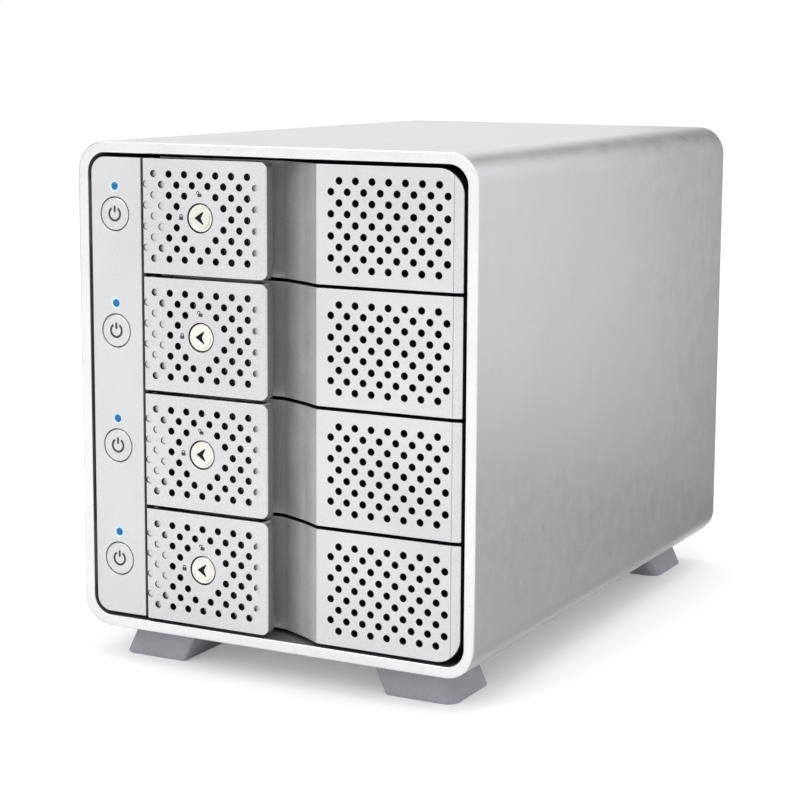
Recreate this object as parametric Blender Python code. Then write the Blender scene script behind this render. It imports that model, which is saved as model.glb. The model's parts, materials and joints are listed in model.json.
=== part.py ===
"""A four-bay desktop storage enclosure: an aluminium sleeve on four feet, a control
column with a power button and a light for each bay, four pull-out drive trays, and a
rear panel with a fan and sockets.

Metres, +Z up. The front faces -Y. The origin is on the floor, under the middle of the
body. Bay 1 is the top one. Most depths are measured back from the front face, and most
widths from the left side of the sleeve as seen from the front.
"""

import math

import bmesh
import bpy

mm = 0.001

# Sleeve
WIDTH = 136 * mm
HEIGHT = 152 * mm
DEPTH = 210 * mm
WALL = 3.5 * mm
CORNER_RADIUS = 9.5 * mm
FOOT_HEIGHT = 10.4 * mm
CORNER_STEPS = 8
REST_GAP = 0.3 * mm  # between two pieces that touch on the real object

# Front layout, from the left side of the sleeve
RIM_GAP = 1.0 * mm
PANEL_LEFT = WALL + RIM_GAP
PANEL_RIGHT = 22.9 * mm
TRAY_LEFT = 23.9 * mm
LEVER_RIGHT = 67.5 * mm
GROOVE_RIGHT = 84.1 * mm
TRAY_RIGHT = 131 * mm

# Bays
BAYS = 4
BAY_GAP = 0.8 * mm
TRAY_HEIGHT = (HEIGHT - 2 * (WALL + RIM_GAP) - (BAYS - 1) * BAY_GAP) / BAYS
BAY_PITCH = TRAY_HEIGHT + BAY_GAP
INNER_CORNER = CORNER_RADIUS - WALL

# Tray front
SKIN = 2.4 * mm
GROOVE_DEPTH = 8.7 * mm
FASCIA_DEPTH = 10.5 * mm
EDGE_CHAMFER = 2.7 * mm

# Lever and its lock
HINGE_X = 25.9 * mm
HINGE_DEPTH = 1.6 * mm
PIN_RADIUS = 0.8 * mm
HINGE_BLOCK = 32.2 * mm
LIP = 5.2 * mm
LEVER_PROUD = 0.6 * mm  # the levers stand this far in front of the sleeve
LEVER_THICK = 4.2 * mm
EAR_HALF = 5 * mm
NOTCH_SKIN = 0.6 * mm  # the lever's thickness in front of the hinge ear
LOCK_X = 44.4 * mm
LOCK_RADIUS = 4.35 * mm
LOCK_GAP = 0.3 * mm
TONGUE = 9 * mm  # from the lock's axis to the end of its tongue
TONGUE_FRONT = 5.6 * mm  # behind the lever's front face
TONGUE_BACK = 7 * mm
CATCH_FRONT = 3 * mm
CATCH_BACK = 4.6 * mm

# Carrier, sized for a 3.5 inch drive
DRIVE_WIDTH = 101.6 * mm
DRIVE_LENGTH = 147 * mm
DRIVE_FRONT = 13 * mm
CARRIER_WALL = 1.1 * mm
RUNNER = 1.1 * mm
RUNNER_HALF = 1.5 * mm
CARRIER_BACK = 160.8 * mm
TRAY_MIDDLE = 77.7 * mm

# Controls
BUTTON_RADIUS = 5.0 * mm
BUTTON_GAP = 0.35 * mm
LIGHT_RADIUS = 1.2 * mm
LIGHT_ABOVE = 8.5 * mm
PANEL_THICK = 3 * mm
CONTROL_X = 13.2 * mm
BOARD_THICK = 1.6 * mm
CONTROL_BOARD_DEPTH = 9 * mm

# Rear
BACKPLANE_DEPTH = 168 * mm
REAR_DEPTH = 206 * mm
REAR_THICK = 1.6 * mm
FAN_SIDE = 80 * mm
FAN_THICK = 25 * mm
FAN_BORE = 38 * mm
FAN_HUB = 16 * mm
FAN_BLADES = 7
PORT_LEFT = 8.1 * mm

FRONT_Y = (LEVER_PROUD - DEPTH) / 2  # the whole part, levers included, is centred
REAR_Y = FRONT_Y + DEPTH
BASE_Z = FOOT_HEIGHT
TOP_Z = FOOT_HEIGHT + HEIGHT
MIDDLE_Z = (BASE_Z + TOP_Z) / 2


def across(from_left):
    """X of a width measured from the left side of the sleeve."""
    return from_left - WIDTH / 2


def back(depth):
    """Y of a depth measured from the front face."""
    return FRONT_Y + depth


def bay_height(bay):
    """Z of the middle of a bay; bay 1 is the top one."""
    lowest = BASE_Z + WALL + RIM_GAP + TRAY_HEIGHT / 2
    return lowest + (BAYS - bay) * BAY_PITCH


# Shapes


def loft(rings):
    """A closed mesh through rings of points, with a flat face over each end."""
    bm = bmesh.new()
    loops = [[bm.verts.new(point) for point in ring] for ring in rings]
    bm.faces.new(loops[0])
    bm.faces.new(loops[-1])
    for near, far in zip(loops, loops[1:]):
        for i in range(len(near)):
            j = (i + 1) % len(near)
            bm.faces.new((near[i], near[j], far[j], far[i]))
    bmesh.ops.recalc_face_normals(bm, faces=bm.faces)
    mesh = bpy.data.meshes.new("shape")
    bm.to_mesh(mesh)
    bm.free()
    return mesh


def prism(outline, axis, low, high):
    """The outline pushed along an axis. An outline's two coordinates are (y, z) for
    axis X, (x, z) for axis Y and (x, y) for axis Z."""
    put = {
        "X": lambda a, b, c: (c, a, b),
        "Y": lambda a, b, c: (a, c, b),
        "Z": lambda a, b, c: (a, b, c),
    }[axis]
    return loft([[put(a, b, c) for a, b in outline] for c in (low, high)])


def block(x0, x1, y0, y1, z0, z1):
    return prism([(x0, y0), (x1, y0), (x1, y1), (x0, y1)], "Z", z0, z1)


def arc(cx, cy, radius, start, end, steps):
    """Points on an arc, in degrees, both ends included."""
    angles = [math.radians(start + (end - start) * i / steps) for i in range(steps + 1)]
    return [(cx + radius * math.cos(a), cy + radius * math.sin(a)) for a in angles]


def circle(cx, cy, radius, sides):
    return arc(cx, cy, radius, 0, 360 - 360 / sides, sides - 1)


def rounded_rectangle(x0, x1, y0, y1, radii, steps=CORNER_STEPS):
    """radii: lower left, lower right, upper right, upper left."""
    corners = ((x0, y0, 180), (x1, y0, 270), (x1, y1, 0), (x0, y1, 90))
    points = []
    for (x, y, start), r in zip(corners, radii):
        cx = x + r if x == x0 else x - r
        cy = y + r if y == y0 else y - r
        points += arc(cx, cy, r, start, start + 90, steps)
    return points


def rod(cx, cy, radius, sides, axis, low, high):
    return prism(circle(cx, cy, radius, sides), axis, low, high)


def carve(base, add=(), cut=()):
    """The base mesh joined with the meshes of add, and then cut by those of cut."""
    scene = bpy.context.scene.collection
    work = bpy.data.objects.new("work", base)
    scene.objects.link(work)
    tools = []
    for operation, pieces in (("UNION", add), ("DIFFERENCE", cut)):
        for piece in pieces:
            tool = bpy.data.objects.new("tool", piece)
            scene.objects.link(tool)
            tools.append(tool)
            boolean = work.modifiers.new(operation, "BOOLEAN")
            boolean.operation = operation
            boolean.solver = "EXACT"
            boolean.object = tool
    graph = bpy.context.evaluated_depsgraph_get()
    mesh = bpy.data.meshes.new_from_object(work.evaluated_get(graph))
    for obj in [work, *tools]:
        bpy.data.objects.remove(obj)
    return mesh


# Placing

materials = {}


def material(name, colour, roughness, metallic):
    made = bpy.data.materials.new(name)
    made.use_nodes = True
    shader = made.node_tree.nodes["Principled BSDF"]
    shader.inputs["Base Color"].default_value = (*colour, 1)
    shader.inputs["Roughness"].default_value = roughness
    shader.inputs["Metallic"].default_value = metallic
    materials[name] = made


def make_materials():
    material("satin_aluminium", (0.78, 0.78, 0.80), 0.38, 1.0)
    material("silver_fascia", (0.80, 0.80, 0.81), 0.42, 0.6)
    material("nickel", (0.85, 0.84, 0.80), 0.2, 1.0)
    material("grey_foot", (0.34, 0.34, 0.37), 0.6, 0.0)
    material("blue_light", (0.05, 0.42, 0.9), 0.3, 0.0)
    material("zinc_steel", (0.62, 0.63, 0.64), 0.4, 1.0)
    material("black_steel", (0.03, 0.03, 0.03), 0.45, 0.0)
    material("black_plastic", (0.03, 0.03, 0.03), 0.5, 0.0)
    material("circuit_green", (0.03, 0.17, 0.09), 0.5, 0.0)


def pivot(name, location, parent=None):
    """An empty that holds the pieces of one moving body."""
    empty = bpy.data.objects.new(name, None)
    empty.location = location
    empty.parent = parent
    bpy.context.scene.collection.objects.link(empty)
    return empty


def place(name, mesh, look, parent=None, location=(0, 0, 0)):
    mesh = mesh.copy() if mesh.materials else mesh
    mesh.materials.clear()
    mesh.materials.append(materials[look])
    mesh.shade_smooth()
    mesh.set_sharp_from_angle(angle=math.radians(30))
    obj = bpy.data.objects.new(name, mesh)
    obj.location = location
    obj.parent = parent
    bpy.context.scene.collection.objects.link(obj)
    return obj


# Sleeve and feet

SCREW_INSET = 4.6 * mm
BOSS = 8 * mm
BOSS_LENGTH = 14 * mm
SCREW_HOLE = 1.7 * mm
SCREW_SHANK = 1.4 * mm


def screw_places():
    """(x, z) of the four rear screws, in the corners of the sleeve."""
    side = WIDTH / 2 - WALL - SCREW_INSET
    rise = HEIGHT / 2 - WALL - SCREW_INSET
    return [(sx * side, MIDDLE_Z + sz * rise) for sz in (1, -1) for sx in (-1, 1)]


def build_sleeve():
    radii = [CORNER_RADIUS] * 4
    outer = rounded_rectangle(-WIDTH / 2, WIDTH / 2, BASE_Z, TOP_Z, radii)
    inner = rounded_rectangle(
        -WIDTH / 2 + WALL, WIDTH / 2 - WALL, BASE_Z + WALL, TOP_Z - WALL, [INNER_CORNER] * 4
    )
    over = 1 * mm
    tube = carve(
        prism(outer, "Y", FRONT_Y, REAR_Y),
        cut=[prism(inner, "Y", FRONT_Y - over, REAR_Y + over)],
    )
    y1 = back(REAR_DEPTH - REST_GAP)
    bosses = []
    holes = []
    for x, z in screw_places():
        sx = math.copysign(1, x)
        sz = math.copysign(1, z - MIDDLE_Z)
        # Each boss reaches half way into the wall, so that it joins the sleeve cleanly.
        xs = sorted((sx * (WIDTH / 2 - WALL / 2), sx * (WIDTH / 2 - WALL - BOSS)))
        zs = sorted((sz * (HEIGHT / 2 - WALL / 2), sz * (HEIGHT / 2 - WALL - BOSS)))
        radii = [1 * mm] * 4
        radii[{(-1, -1): 0, (1, -1): 1, (1, 1): 2, (-1, 1): 3}[sx, sz]] = CORNER_RADIUS - WALL / 2
        outline = rounded_rectangle(*xs, MIDDLE_Z + zs[0], MIDDLE_Z + zs[1], radii)
        bosses.append(prism(outline, "Y", y1 - BOSS_LENGTH, y1))
        holes.append(rod(x, z, SCREW_HOLE, 10, "Y", y1 - BOSS_LENGTH + 2 * mm, y1 + over))
    place("outer_shell", carve(tube, add=bosses, cut=holes), "satin_aluminium")


FOOT_EDGE = 9.4 * mm  # from the side of the sleeve to the outer edge of the underside
FOOT_LEAN = 4.8 * mm
FOOT_WIDTH = 23 * mm
FOOT_INSET = 7 * mm
FOOT_LENGTH = 26 * mm
FOOT_CORNER = 4 * mm


def build_feet():
    """Each foot leans outwards: its underside stands further out than its top."""
    top = BASE_Z - REST_GAP
    for end, start in (("front", FOOT_INSET), ("rear", DEPTH - FOOT_INSET - FOOT_LENGTH)):
        for side, sign in (("left", 1), ("right", -1)):
            xs = sorted((sign * across(FOOT_EDGE), sign * across(FOOT_EDGE + FOOT_WIDTH)))
            outer, inner = FOOT_CORNER, 1 * mm
            radii = [outer, inner, inner, outer] if sign == 1 else [inner, outer, outer, inner]
            plan = rounded_rectangle(*xs, back(start), back(start + FOOT_LENGTH), radii, 5)
            rings = [
                [(x + sign * FOOT_LEAN * z / top, y, z) for x, y in plan] for z in (0, top)
            ]
            place(f"foot_{end}_{side}", loft(rings), "grey_foot")


# Control column


def build_controls():
    low = BASE_Z + PANEL_LEFT
    high = TOP_Z - PANEL_LEFT
    corner = INNER_CORNER - RIM_GAP
    edge = 0.5 * mm
    outline = rounded_rectangle(
        across(PANEL_LEFT), across(PANEL_RIGHT), low, high, [corner, edge, edge, corner], 5
    )
    x = across(CONTROL_X)
    over = 1 * mm
    front, rear = back(-over), back(PANEL_THICK + over)
    holes = []
    for bay in range(1, BAYS + 1):
        z = bay_height(bay)
        holes.append(rod(x, z, BUTTON_RADIUS + BUTTON_GAP, 20, "Y", front, rear))
        light = LIGHT_RADIUS + 0.15 * mm
        holes.append(rod(x, z + LIGHT_ABOVE, light, 10, "Y", front, rear))
    inside = across(WALL + REST_GAP)
    tabs = [
        block(inside, across(5.2 * mm), back(PANEL_THICK - 1 * mm), back(8 * mm), z, z + 20 * mm)
        for z in (bay_height(BAYS) - 10 * mm, bay_height(1) - 10 * mm)
    ]
    plate = prism(outline, "Y", back(0), back(PANEL_THICK))
    panel = carve(plate, add=tabs, cut=holes)
    place("control_panel", panel, "silver_fascia")
    build_buttons()
    build_control_board()


BUTTON_FACE = 0.1 * mm
BUTTON_TRAVEL = 1.2 * mm
SWITCH_DEPTH = 7.6 * mm
STEM_RADIUS = 1.6 * mm


def build_buttons():
    stem_end = SWITCH_DEPTH - BUTTON_TRAVEL - REST_GAP
    cap = rod(0, 0, BUTTON_RADIUS, 20, "Y", 0, 3.6 * mm)
    stem = rod(0, 0, STEM_RADIUS, 10, "Y", 3 * mm, stem_end)
    button = carve(cap, add=[stem])
    pipe_end = CONTROL_BOARD_DEPTH - REST_GAP
    pipe = rod(0, 0, LIGHT_RADIUS, 10, "Y", 0, pipe_end)
    for bay in range(1, BAYS + 1):
        z = bay_height(bay)
        travel = pivot(f"button_{bay}_travel", (across(CONTROL_X), back(BUTTON_FACE), z))
        place(f"power_button_{bay}", button, "silver_fascia", travel)
        at = (across(CONTROL_X), back(0), z + LIGHT_ABOVE)
        place(f"light_pipe_{bay}", pipe, "blue_light", location=at)


def build_control_board():
    """The front board, with one push switch behind each power button."""
    y = back(CONTROL_BOARD_DEPTH)
    x0, x1 = across(5.4 * mm), across(21.4 * mm)
    board = block(x0, x1, y, y + BOARD_THICK, BASE_Z + 6 * mm, TOP_Z - 6 * mm)
    half = 3 * mm
    switches = []
    for bay in range(1, BAYS + 1):
        x, z = across(CONTROL_X), bay_height(bay)
        rear = y + BOARD_THICK / 2
        switches.append(
            block(x - half, x + half, back(SWITCH_DEPTH), rear, z - half, z + half)
        )
    place("control_board", carve(board, add=switches), "circuit_green")


# Trays


def fascia_outline():
    """The tray front in plan: a right section, a finger groove, and a floor behind the lever."""
    floor_back = FASCIA_DEPTH
    groove = [
        (GROOVE_RIGHT, 0),
        (77.8 * mm, 3.9 * mm),
        (72.4 * mm, 6.4 * mm),
        (68.6 * mm, 8.1 * mm),
        (65 * mm, GROOVE_DEPTH),
    ]
    front = [(TRAY_RIGHT, EDGE_CHAMFER * 0.3), (TRAY_RIGHT - EDGE_CHAMFER, 0)]
    floor = [(TRAY_LEFT + 0.3 * mm, GROOVE_DEPTH), (TRAY_LEFT + 0.3 * mm, floor_back)]
    wall = TRAY_RIGHT - 2.5 * mm
    inside = [
        (66 * mm, floor_back),
        (74 * mm, 8 * mm),
        (79.4 * mm, 5.6 * mm),
        (GROOVE_RIGHT + 0.6 * mm, SKIN),
        (wall, SKIN),
        (wall, floor_back),
        (TRAY_RIGHT, floor_back),
    ]
    points = front + groove + floor + inside
    return [(across(x), depth) for x, depth in points]


def fascia_mesh():
    half = TRAY_HEIGHT / 2
    body = prism(fascia_outline(), "Z", -half, half)
    ear_x = across(HINGE_X)
    head = 1.25 * mm
    ear = arc(ear_x, HINGE_DEPTH, head, 180, 360, 6)
    ear += [(ear_x + head, GROOVE_DEPTH + 1 * mm), (ear_x - head, GROOVE_DEPTH + 1 * mm)]
    lug = prism(ear, "Z", -EAR_HALF, EAR_HALF)
    bore = rod(ear_x, HINGE_DEPTH, PIN_RADIUS + 0.05 * mm, 10, "Z", -half, half)
    return carve(body, add=[lug, *catch_meshes()], cut=[bore])


def catch_meshes():
    """The hook on the tray that the lock's tongue turns up behind."""
    x0, x1 = across(LOCK_X - 2.5 * mm), across(LOCK_X + 2.5 * mm)
    post = block(x0, x1, CATCH_FRONT, GROOVE_DEPTH + 1 * mm, TONGUE + 0.5 * mm, TONGUE + 2.3 * mm)
    hook = block(x0, x1, CATCH_FRONT, CATCH_BACK, TONGUE - 2.5 * mm, TONGUE + 1.5 * mm)
    return post, hook


def lever_outline():
    """The lever in plan: hinge block, thin plate and a thicker lip for the fingers."""
    x0, x1 = TRAY_LEFT, LEVER_RIGHT
    points = [
        (x0 + 0.4 * mm, 0),
        (x1 - 0.9 * mm, 0),
        (x1 - 0.25 * mm, 0.3 * mm),
        (x1, 1 * mm),
        (x1, LEVER_THICK - 0.8 * mm),
        (x1 - 0.8 * mm, LEVER_THICK),
        (x1 - LIP, LEVER_THICK),
        (x1 - LIP - 1.2 * mm, SKIN),
        (HINGE_BLOCK + 1 * mm, SKIN),
        (HINGE_BLOCK, LEVER_THICK),
        (x0 + 0.7 * mm, LEVER_THICK),
        (x0, LEVER_THICK - 0.7 * mm),
        (x0, 0.4 * mm),
    ]
    return [(x - HINGE_X, depth - LEVER_PROUD - HINGE_DEPTH) for x, depth in points]


def lever_mesh():
    """The lever about its hinge pin, with a notch behind its skin for the hinge ear."""
    half = TRAY_HEIGHT / 2
    x0, x1 = TRAY_LEFT - HINGE_X, LEVER_RIGHT - HINGE_X
    deep = 12 * mm
    face = rounded_rectangle(
        x0 - 1 * mm, x1, -half, half, [0.3 * mm, 2.2 * mm, 2.2 * mm, 0.3 * mm], 4
    )
    corner_cut = carve(
        prism(rounded_rectangle(x0 - 2 * mm, x1 + deep, -deep * 2, deep * 2, [mm] * 4, 1),
              "Y", -deep, deep),
        cut=[prism(face, "Y", -deep * 2, deep * 2)],
    )
    ear = EAR_HALF + 0.4 * mm
    skin_back = NOTCH_SKIN - LEVER_PROUD - HINGE_DEPTH
    notch = block(x0 - 1 * mm, HINGE_BLOCK - HINGE_X - 2 * mm, skin_back, deep, -ear, ear)
    bore = rod(0, 0, PIN_RADIUS + 0.15 * mm, 10, "Z", -deep * 2, deep * 2)
    lock_hole = rod(LOCK_X - HINGE_X, 0, LOCK_RADIUS + LOCK_GAP, 20, "Y", -deep, deep)
    body = prism(lever_outline(), "Z", -half, half)
    return carve(body, cut=[corner_cut, notch, bore, lock_hole])


def lock_mesh():
    """The lock about its own axis: face, barrel and the tongue behind the lever."""
    half = 2 * mm
    barrel = rod(0, 0, LOCK_RADIUS, 20, "Y", 0.1 * mm, TONGUE_BACK)
    tongue = block(-TONGUE, half, TONGUE_FRONT, TONGUE_BACK + 0.2 * mm, -half, half)
    arrow = [(-1.9 * mm, 0), (0.9 * mm, 1.8 * mm), (0.1 * mm, 0), (0.9 * mm, -1.8 * mm)]
    keyway = prism(arrow, "Y", -1 * mm, 1.2 * mm)
    return carve(barrel, add=[tongue], cut=[keyway])


def carrier_outline():
    """The sheet carrier seen from the front: a floor, two walls and their runners."""
    inside = DRIVE_WIDTH / 2 + 0.2 * mm
    outside = inside + CARRIER_WALL
    low, floor_top, top = -14.9 * mm, -13.7 * mm, 3.5 * mm
    right = [
        (outside, low),
        (outside, -RUNNER_HALF),
        (outside + RUNNER, -RUNNER_HALF),
        (outside + RUNNER, RUNNER_HALF),
        (outside, RUNNER_HALF),
        (outside, top),
        (inside, top),
        (inside, floor_top),
    ]
    left = [(-x, z) for x, z in reversed(right)]
    return [(across(TRAY_MIDDLE) + x, z) for x, z in right + left]


def carrier_mesh():
    front = FASCIA_DEPTH + REST_GAP
    side = DRIVE_WIDTH / 2 + 0.2 * mm + CARRIER_WALL
    x0, x1 = across(TRAY_MIDDLE - side), across(TRAY_MIDDLE + side)
    body = prism(carrier_outline(), "Y", front, CARRIER_BACK)
    wall = block(x0, x1, front, DRIVE_FRONT - REST_GAP, -14.9 * mm, 9 * mm)
    return carve(body, add=[wall])


def build_trays():
    fascia, lever, lock = fascia_mesh(), lever_mesh(), lock_mesh()
    carrier = carrier_mesh()
    half = TRAY_HEIGHT / 2
    pin = rod(0, 0, PIN_RADIUS, 10, "Z", -half + 0.6 * mm, half - 0.6 * mm)
    # The two outer trays have one large round corner that follows the sleeve.
    corner = 7.5 * mm
    right = across(TRAY_RIGHT)
    deep = 20 * mm
    rounding = {}
    for bay, sign in ((1, 1), (BAYS, -1)):
        edge = arc(right - corner, sign * (half - corner), corner, 0, sign * 90, 6)
        out_x, out_z = right + 3 * mm, sign * (half + 3 * mm)
        edge += [(right - corner, out_z), (out_x, out_z), (out_x, sign * (half - corner))]
        rounding[bay] = prism(edge, "Y", -deep, deep)
    for bay in range(1, BAYS + 1):
        tray = pivot(f"tray_{bay}", (0, FRONT_Y, bay_height(bay)))
        front = fascia
        if bay in rounding:
            front = carve(fascia.copy(), cut=[rounding[bay]])
        place(f"tray_fascia_{bay}", front, "silver_fascia", tray)
        place(f"tray_carrier_{bay}", carrier, "black_steel", tray)
        hinge_at = (across(HINGE_X), HINGE_DEPTH, 0)
        place(f"lever_pin_{bay}", pin, "zinc_steel", tray, hinge_at)
        hinge = pivot(f"lever_{bay}_hinge", hinge_at, tray)
        place(f"tray_lever_{bay}", lever, "silver_fascia", hinge)
        turn_at = (LOCK_X - HINGE_X, -LEVER_PROUD - HINGE_DEPTH, 0)
        turn = pivot(f"lock_{bay}_turn", turn_at, hinge)
        place(f"key_lock_{bay}", lock, "nickel", turn)


# Inside the sleeve

GUIDE_FRONT = 13 * mm
GUIDE_BACK = 176 * mm
GUIDE_THICK = 0.8 * mm
LEDGE_REACH = 1.2 * mm
LEDGE_THICK = 1.2 * mm


def build_guides():
    """The two side plates of the cage, with a pair of ledges for each tray's runner."""
    runner_tip = DRIVE_WIDTH / 2 + 0.2 * mm + CARRIER_WALL + RUNNER
    face = runner_tip + 0.4 * mm
    clear = WALL + 4.8 * mm  # past the sleeve's rounded inner corner
    low, high = BASE_Z + clear, TOP_Z - clear
    gap = RUNNER_HALF + 0.4 * mm
    y0, y1 = back(GUIDE_FRONT), back(GUIDE_BACK)
    for side, sign in (("left", -1), ("right", 1)):
        middle = across(TRAY_MIDDLE)
        xs = sorted((middle + sign * face, middle + sign * (face + GUIDE_THICK)))
        plate = block(*xs, y0, y1, low, high)
        rails = []
        reach = sorted(
            (middle + sign * (face - LEDGE_REACH), middle + sign * (face + GUIDE_THICK / 2))
        )
        for bay in range(1, BAYS + 1):
            z = bay_height(bay)
            for z0 in (z + gap, z - gap - LEDGE_THICK):
                rails.append(block(*reach, y0, y1 - 12 * mm, z0, z0 + LEDGE_THICK))
        place(f"bay_guide_{side}", carve(plate, add=rails), "zinc_steel")


def build_backplane():
    """The board that the drives plug into, with air slots between its sockets."""
    x0, x1 = across(24.7 * mm), across(130.9 * mm)
    y0, y1 = back(BACKPLANE_DEPTH), back(BACKPLANE_DEPTH + BOARD_THICK)
    low, high = BASE_Z + WALL + 3 * mm, TOP_Z - WALL - 3 * mm
    slot_width, slot_height, slots = 15 * mm, 12 * mm, 5
    over = 1 * mm
    pitch = (x1 - x0) / slots
    cuts = []
    for bay in range(1, BAYS):
        z = bay_height(bay) - BAY_PITCH / 2
        for i in range(slots):
            x = x0 + pitch * (i + 0.5)
            cuts.append(
                block(
                    x - slot_width / 2, x + slot_width / 2, y0 - over, y1 + over,
                    z - slot_height / 2, z + slot_height / 2,
                )
            )
    place("backplane", carve(block(x0, x1, y0, y1, low, high), cut=cuts), "circuit_green")
    socket_x = across(TRAY_MIDDLE) + 20 * mm
    half = 21 * mm
    y_front, y_back = DRIVE_FRONT + DRIVE_LENGTH + 0.6 * mm, BACKPLANE_DEPTH - REST_GAP
    tongue_slot = block(
        -half + 3 * mm, half - 3 * mm, y_front - over, y_front + 4 * mm, -9.6 * mm, -7.4 * mm
    )
    socket = carve(
        block(-half, half, y_front, y_back, -12 * mm, -5 * mm), cut=[tongue_slot]
    )
    for bay in range(1, BAYS + 1):
        at = (socket_x, FRONT_Y, bay_height(bay))
        place(f"drive_socket_{bay}", socket, "black_plastic", location=at)


# Rear

PORTS = {
    # name: (width along X, height along Z, length, middle above the base)
    "ethernet_port": (13.5 * mm, 16 * mm, 21 * mm, 118 * mm),
    "usb_port": (11 * mm, 12 * mm, 17 * mm, 94 * mm),
    "esata_port": (11 * mm, 14 * mm, 15 * mm, 72 * mm),
    "dc_inlet": (13 * mm, 13 * mm, 14 * mm, 28 * mm),
}
PORT_FACE = REAR_DEPTH + REAR_THICK + 0.8 * mm


def port_box(name):
    width, height, length, middle = PORTS[name]
    x0 = across(PORT_LEFT)
    z = BASE_Z + middle
    return x0, x0 + width, back(PORT_FACE - length), back(PORT_FACE), z - height / 2, z + height / 2


def build_main_board():
    """The controller board stands on edge in the control column."""
    mesh = block(
        across(PORT_LEFT - REST_GAP - BOARD_THICK), across(PORT_LEFT - REST_GAP),
        back(30 * mm), back(203 * mm), BASE_Z + 12 * mm, TOP_Z - 14 * mm,
    )
    place("main_board", mesh, "circuit_green")


def build_ports():
    for name in PORTS:
        x0, x1, y0, y1, z0, z1 = port_box(name)
        x, z = (x0 + x1) / 2, (z0 + z1) / 2
        shell = block(x0, x1, y0, y1, z0, z1)
        over = 1 * mm
        if name == "ethernet_port":
            mouth = block(x0 + 2 * mm, x1 - 3 * mm, y1 - 15 * mm, y1 + over, z - 6 * mm, z + 6 * mm)
            clip = block(x1 - 4 * mm, x1 - 1.4 * mm, y1 - 15 * mm, y1 + over, z - 3 * mm, z + 3 * mm)
            mesh = carve(shell, cut=[mouth, clip])
        elif name == "dc_inlet":
            mouth = rod(x, z, 4.8 * mm, 20, "Y", y1 - 10 * mm, y1 + over)
            post = rod(x, z, 1.1 * mm, 8, "Y", y1 - 11 * mm, y1 - 1 * mm)
            mesh = carve(carve(shell, cut=[mouth]), add=[post])
        else:
            wall = 1.2 * mm
            mouth = block(x0 + wall, x1 - wall, y1 - 10 * mm, y1 + over, z0 + wall, z1 - wall)
            tongue = block(
                x - 1.6 * mm, x + 1.6 * mm, y1 - 11 * mm, y1 - 1 * mm, z - 2.9 * mm, z + 2.9 * mm
            )
            mesh = carve(carve(shell, cut=[mouth]), add=[tongue])
        place(name, mesh, "black_plastic")


def grille_slots():
    """Five rings of arc slots over the fan, parted by four diagonal spokes."""
    x, z = across(TRAY_MIDDLE), MIDDLE_Z
    slot, bar, spoke = 4.2 * mm, 1.8 * mm, 3 * mm
    slots = []
    for ring in range(5):
        inner = 7 * mm + ring * (slot + bar)
        outer = inner + slot
        steps = 3 + ring
        trim_inner = math.degrees(math.asin(spoke / 2 / inner))
        trim_outer = math.degrees(math.asin(spoke / 2 / outer))
        for quarter in range(4):
            start = 45 + 90 * quarter
            outline = arc(x, z, outer, start + trim_outer, start + 90 - trim_outer, steps)
            outline += arc(x, z, inner, start + 90 - trim_inner, start + trim_inner, steps)
            slots.append(outline)
    return slots


def build_rear_panel():
    inset = WALL + REST_GAP
    outline = rounded_rectangle(
        -WIDTH / 2 + inset, WIDTH / 2 - inset, BASE_Z + inset, TOP_Z - inset,
        [INNER_CORNER] * 4, 5,
    )
    y0, y1 = back(REAR_DEPTH), back(REAR_DEPTH + REAR_THICK)
    over = 1 * mm
    cuts = [prism(slot, "Y", y0 - over, y1 + over) for slot in grille_slots()]
    for name in PORTS:
        x0, x1, _, _, z0, z1 = port_box(name)
        cuts.append(
            block(
                x0 - REST_GAP, x1 + REST_GAP, y0 - over, y1 + over,
                z0 - REST_GAP, z1 + REST_GAP,
            )
        )
    for x, z in screw_places():
        cuts.append(rod(x, z, SCREW_HOLE, 10, "Y", y0 - over, y1 + over))
    place("rear_panel", carve(prism(outline, "Y", y0, y1), cut=cuts), "zinc_steel")


def build_rear_screws():
    head_front = REAR_DEPTH + REAR_THICK + REST_GAP
    head = rod(0, 0, 2.8 * mm, 14, "Y", head_front, head_front + 1.6 * mm)
    shank = rod(0, 0, SCREW_SHANK, 10, "Y", REAR_DEPTH - 9 * mm, head_front + 0.5 * mm)
    screw = carve(head, add=[shank])
    for number, (x, z) in enumerate(screw_places(), 1):
        place(f"rear_screw_{number}", screw, "zinc_steel", location=(x, FRONT_Y, z))


FAN_BACK = REAR_DEPTH - REST_GAP
FAN_FRONT = FAN_BACK - FAN_THICK
STRUT_DEPTH = 2.5 * mm
AXLE_RADIUS = 1.5 * mm
AXLE_LENGTH = 8 * mm


def build_fan():
    x, z = across(TRAY_MIDDLE), MIDDLE_Z
    half = FAN_SIDE / 2
    y0, y1 = back(FAN_FRONT), back(FAN_BACK)
    over = 1 * mm
    outline = rounded_rectangle(x - half, x + half, z - half, z + half, [4 * mm] * 4, 2)
    ring = carve(
        prism(outline, "Y", y0, y1), cut=[rod(x, z, FAN_BORE, 32, "Y", y0 - over, y1 + over)]
    )
    strut_front = y1 - STRUT_DEPTH
    reach, wide = FAN_BORE + 1 * mm, 1.6 * mm
    parts = [
        block(x - reach, x + reach, strut_front, y1, z - wide, z + wide),
        block(x - wide, x + wide, strut_front, y1, z - reach, z + reach),
        rod(x, z, FAN_HUB - 1 * mm, 16, "Y", strut_front, y1),
        rod(x, z, AXLE_RADIUS, 12, "Y", strut_front - AXLE_LENGTH, y1 - 1 * mm),
    ]
    place("fan_frame", carve(ring, add=parts), "black_plastic")
    spin = pivot("fan_axle", (x, y0, z))
    place("fan_rotor", rotor_mesh(), "black_plastic", spin)


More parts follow.
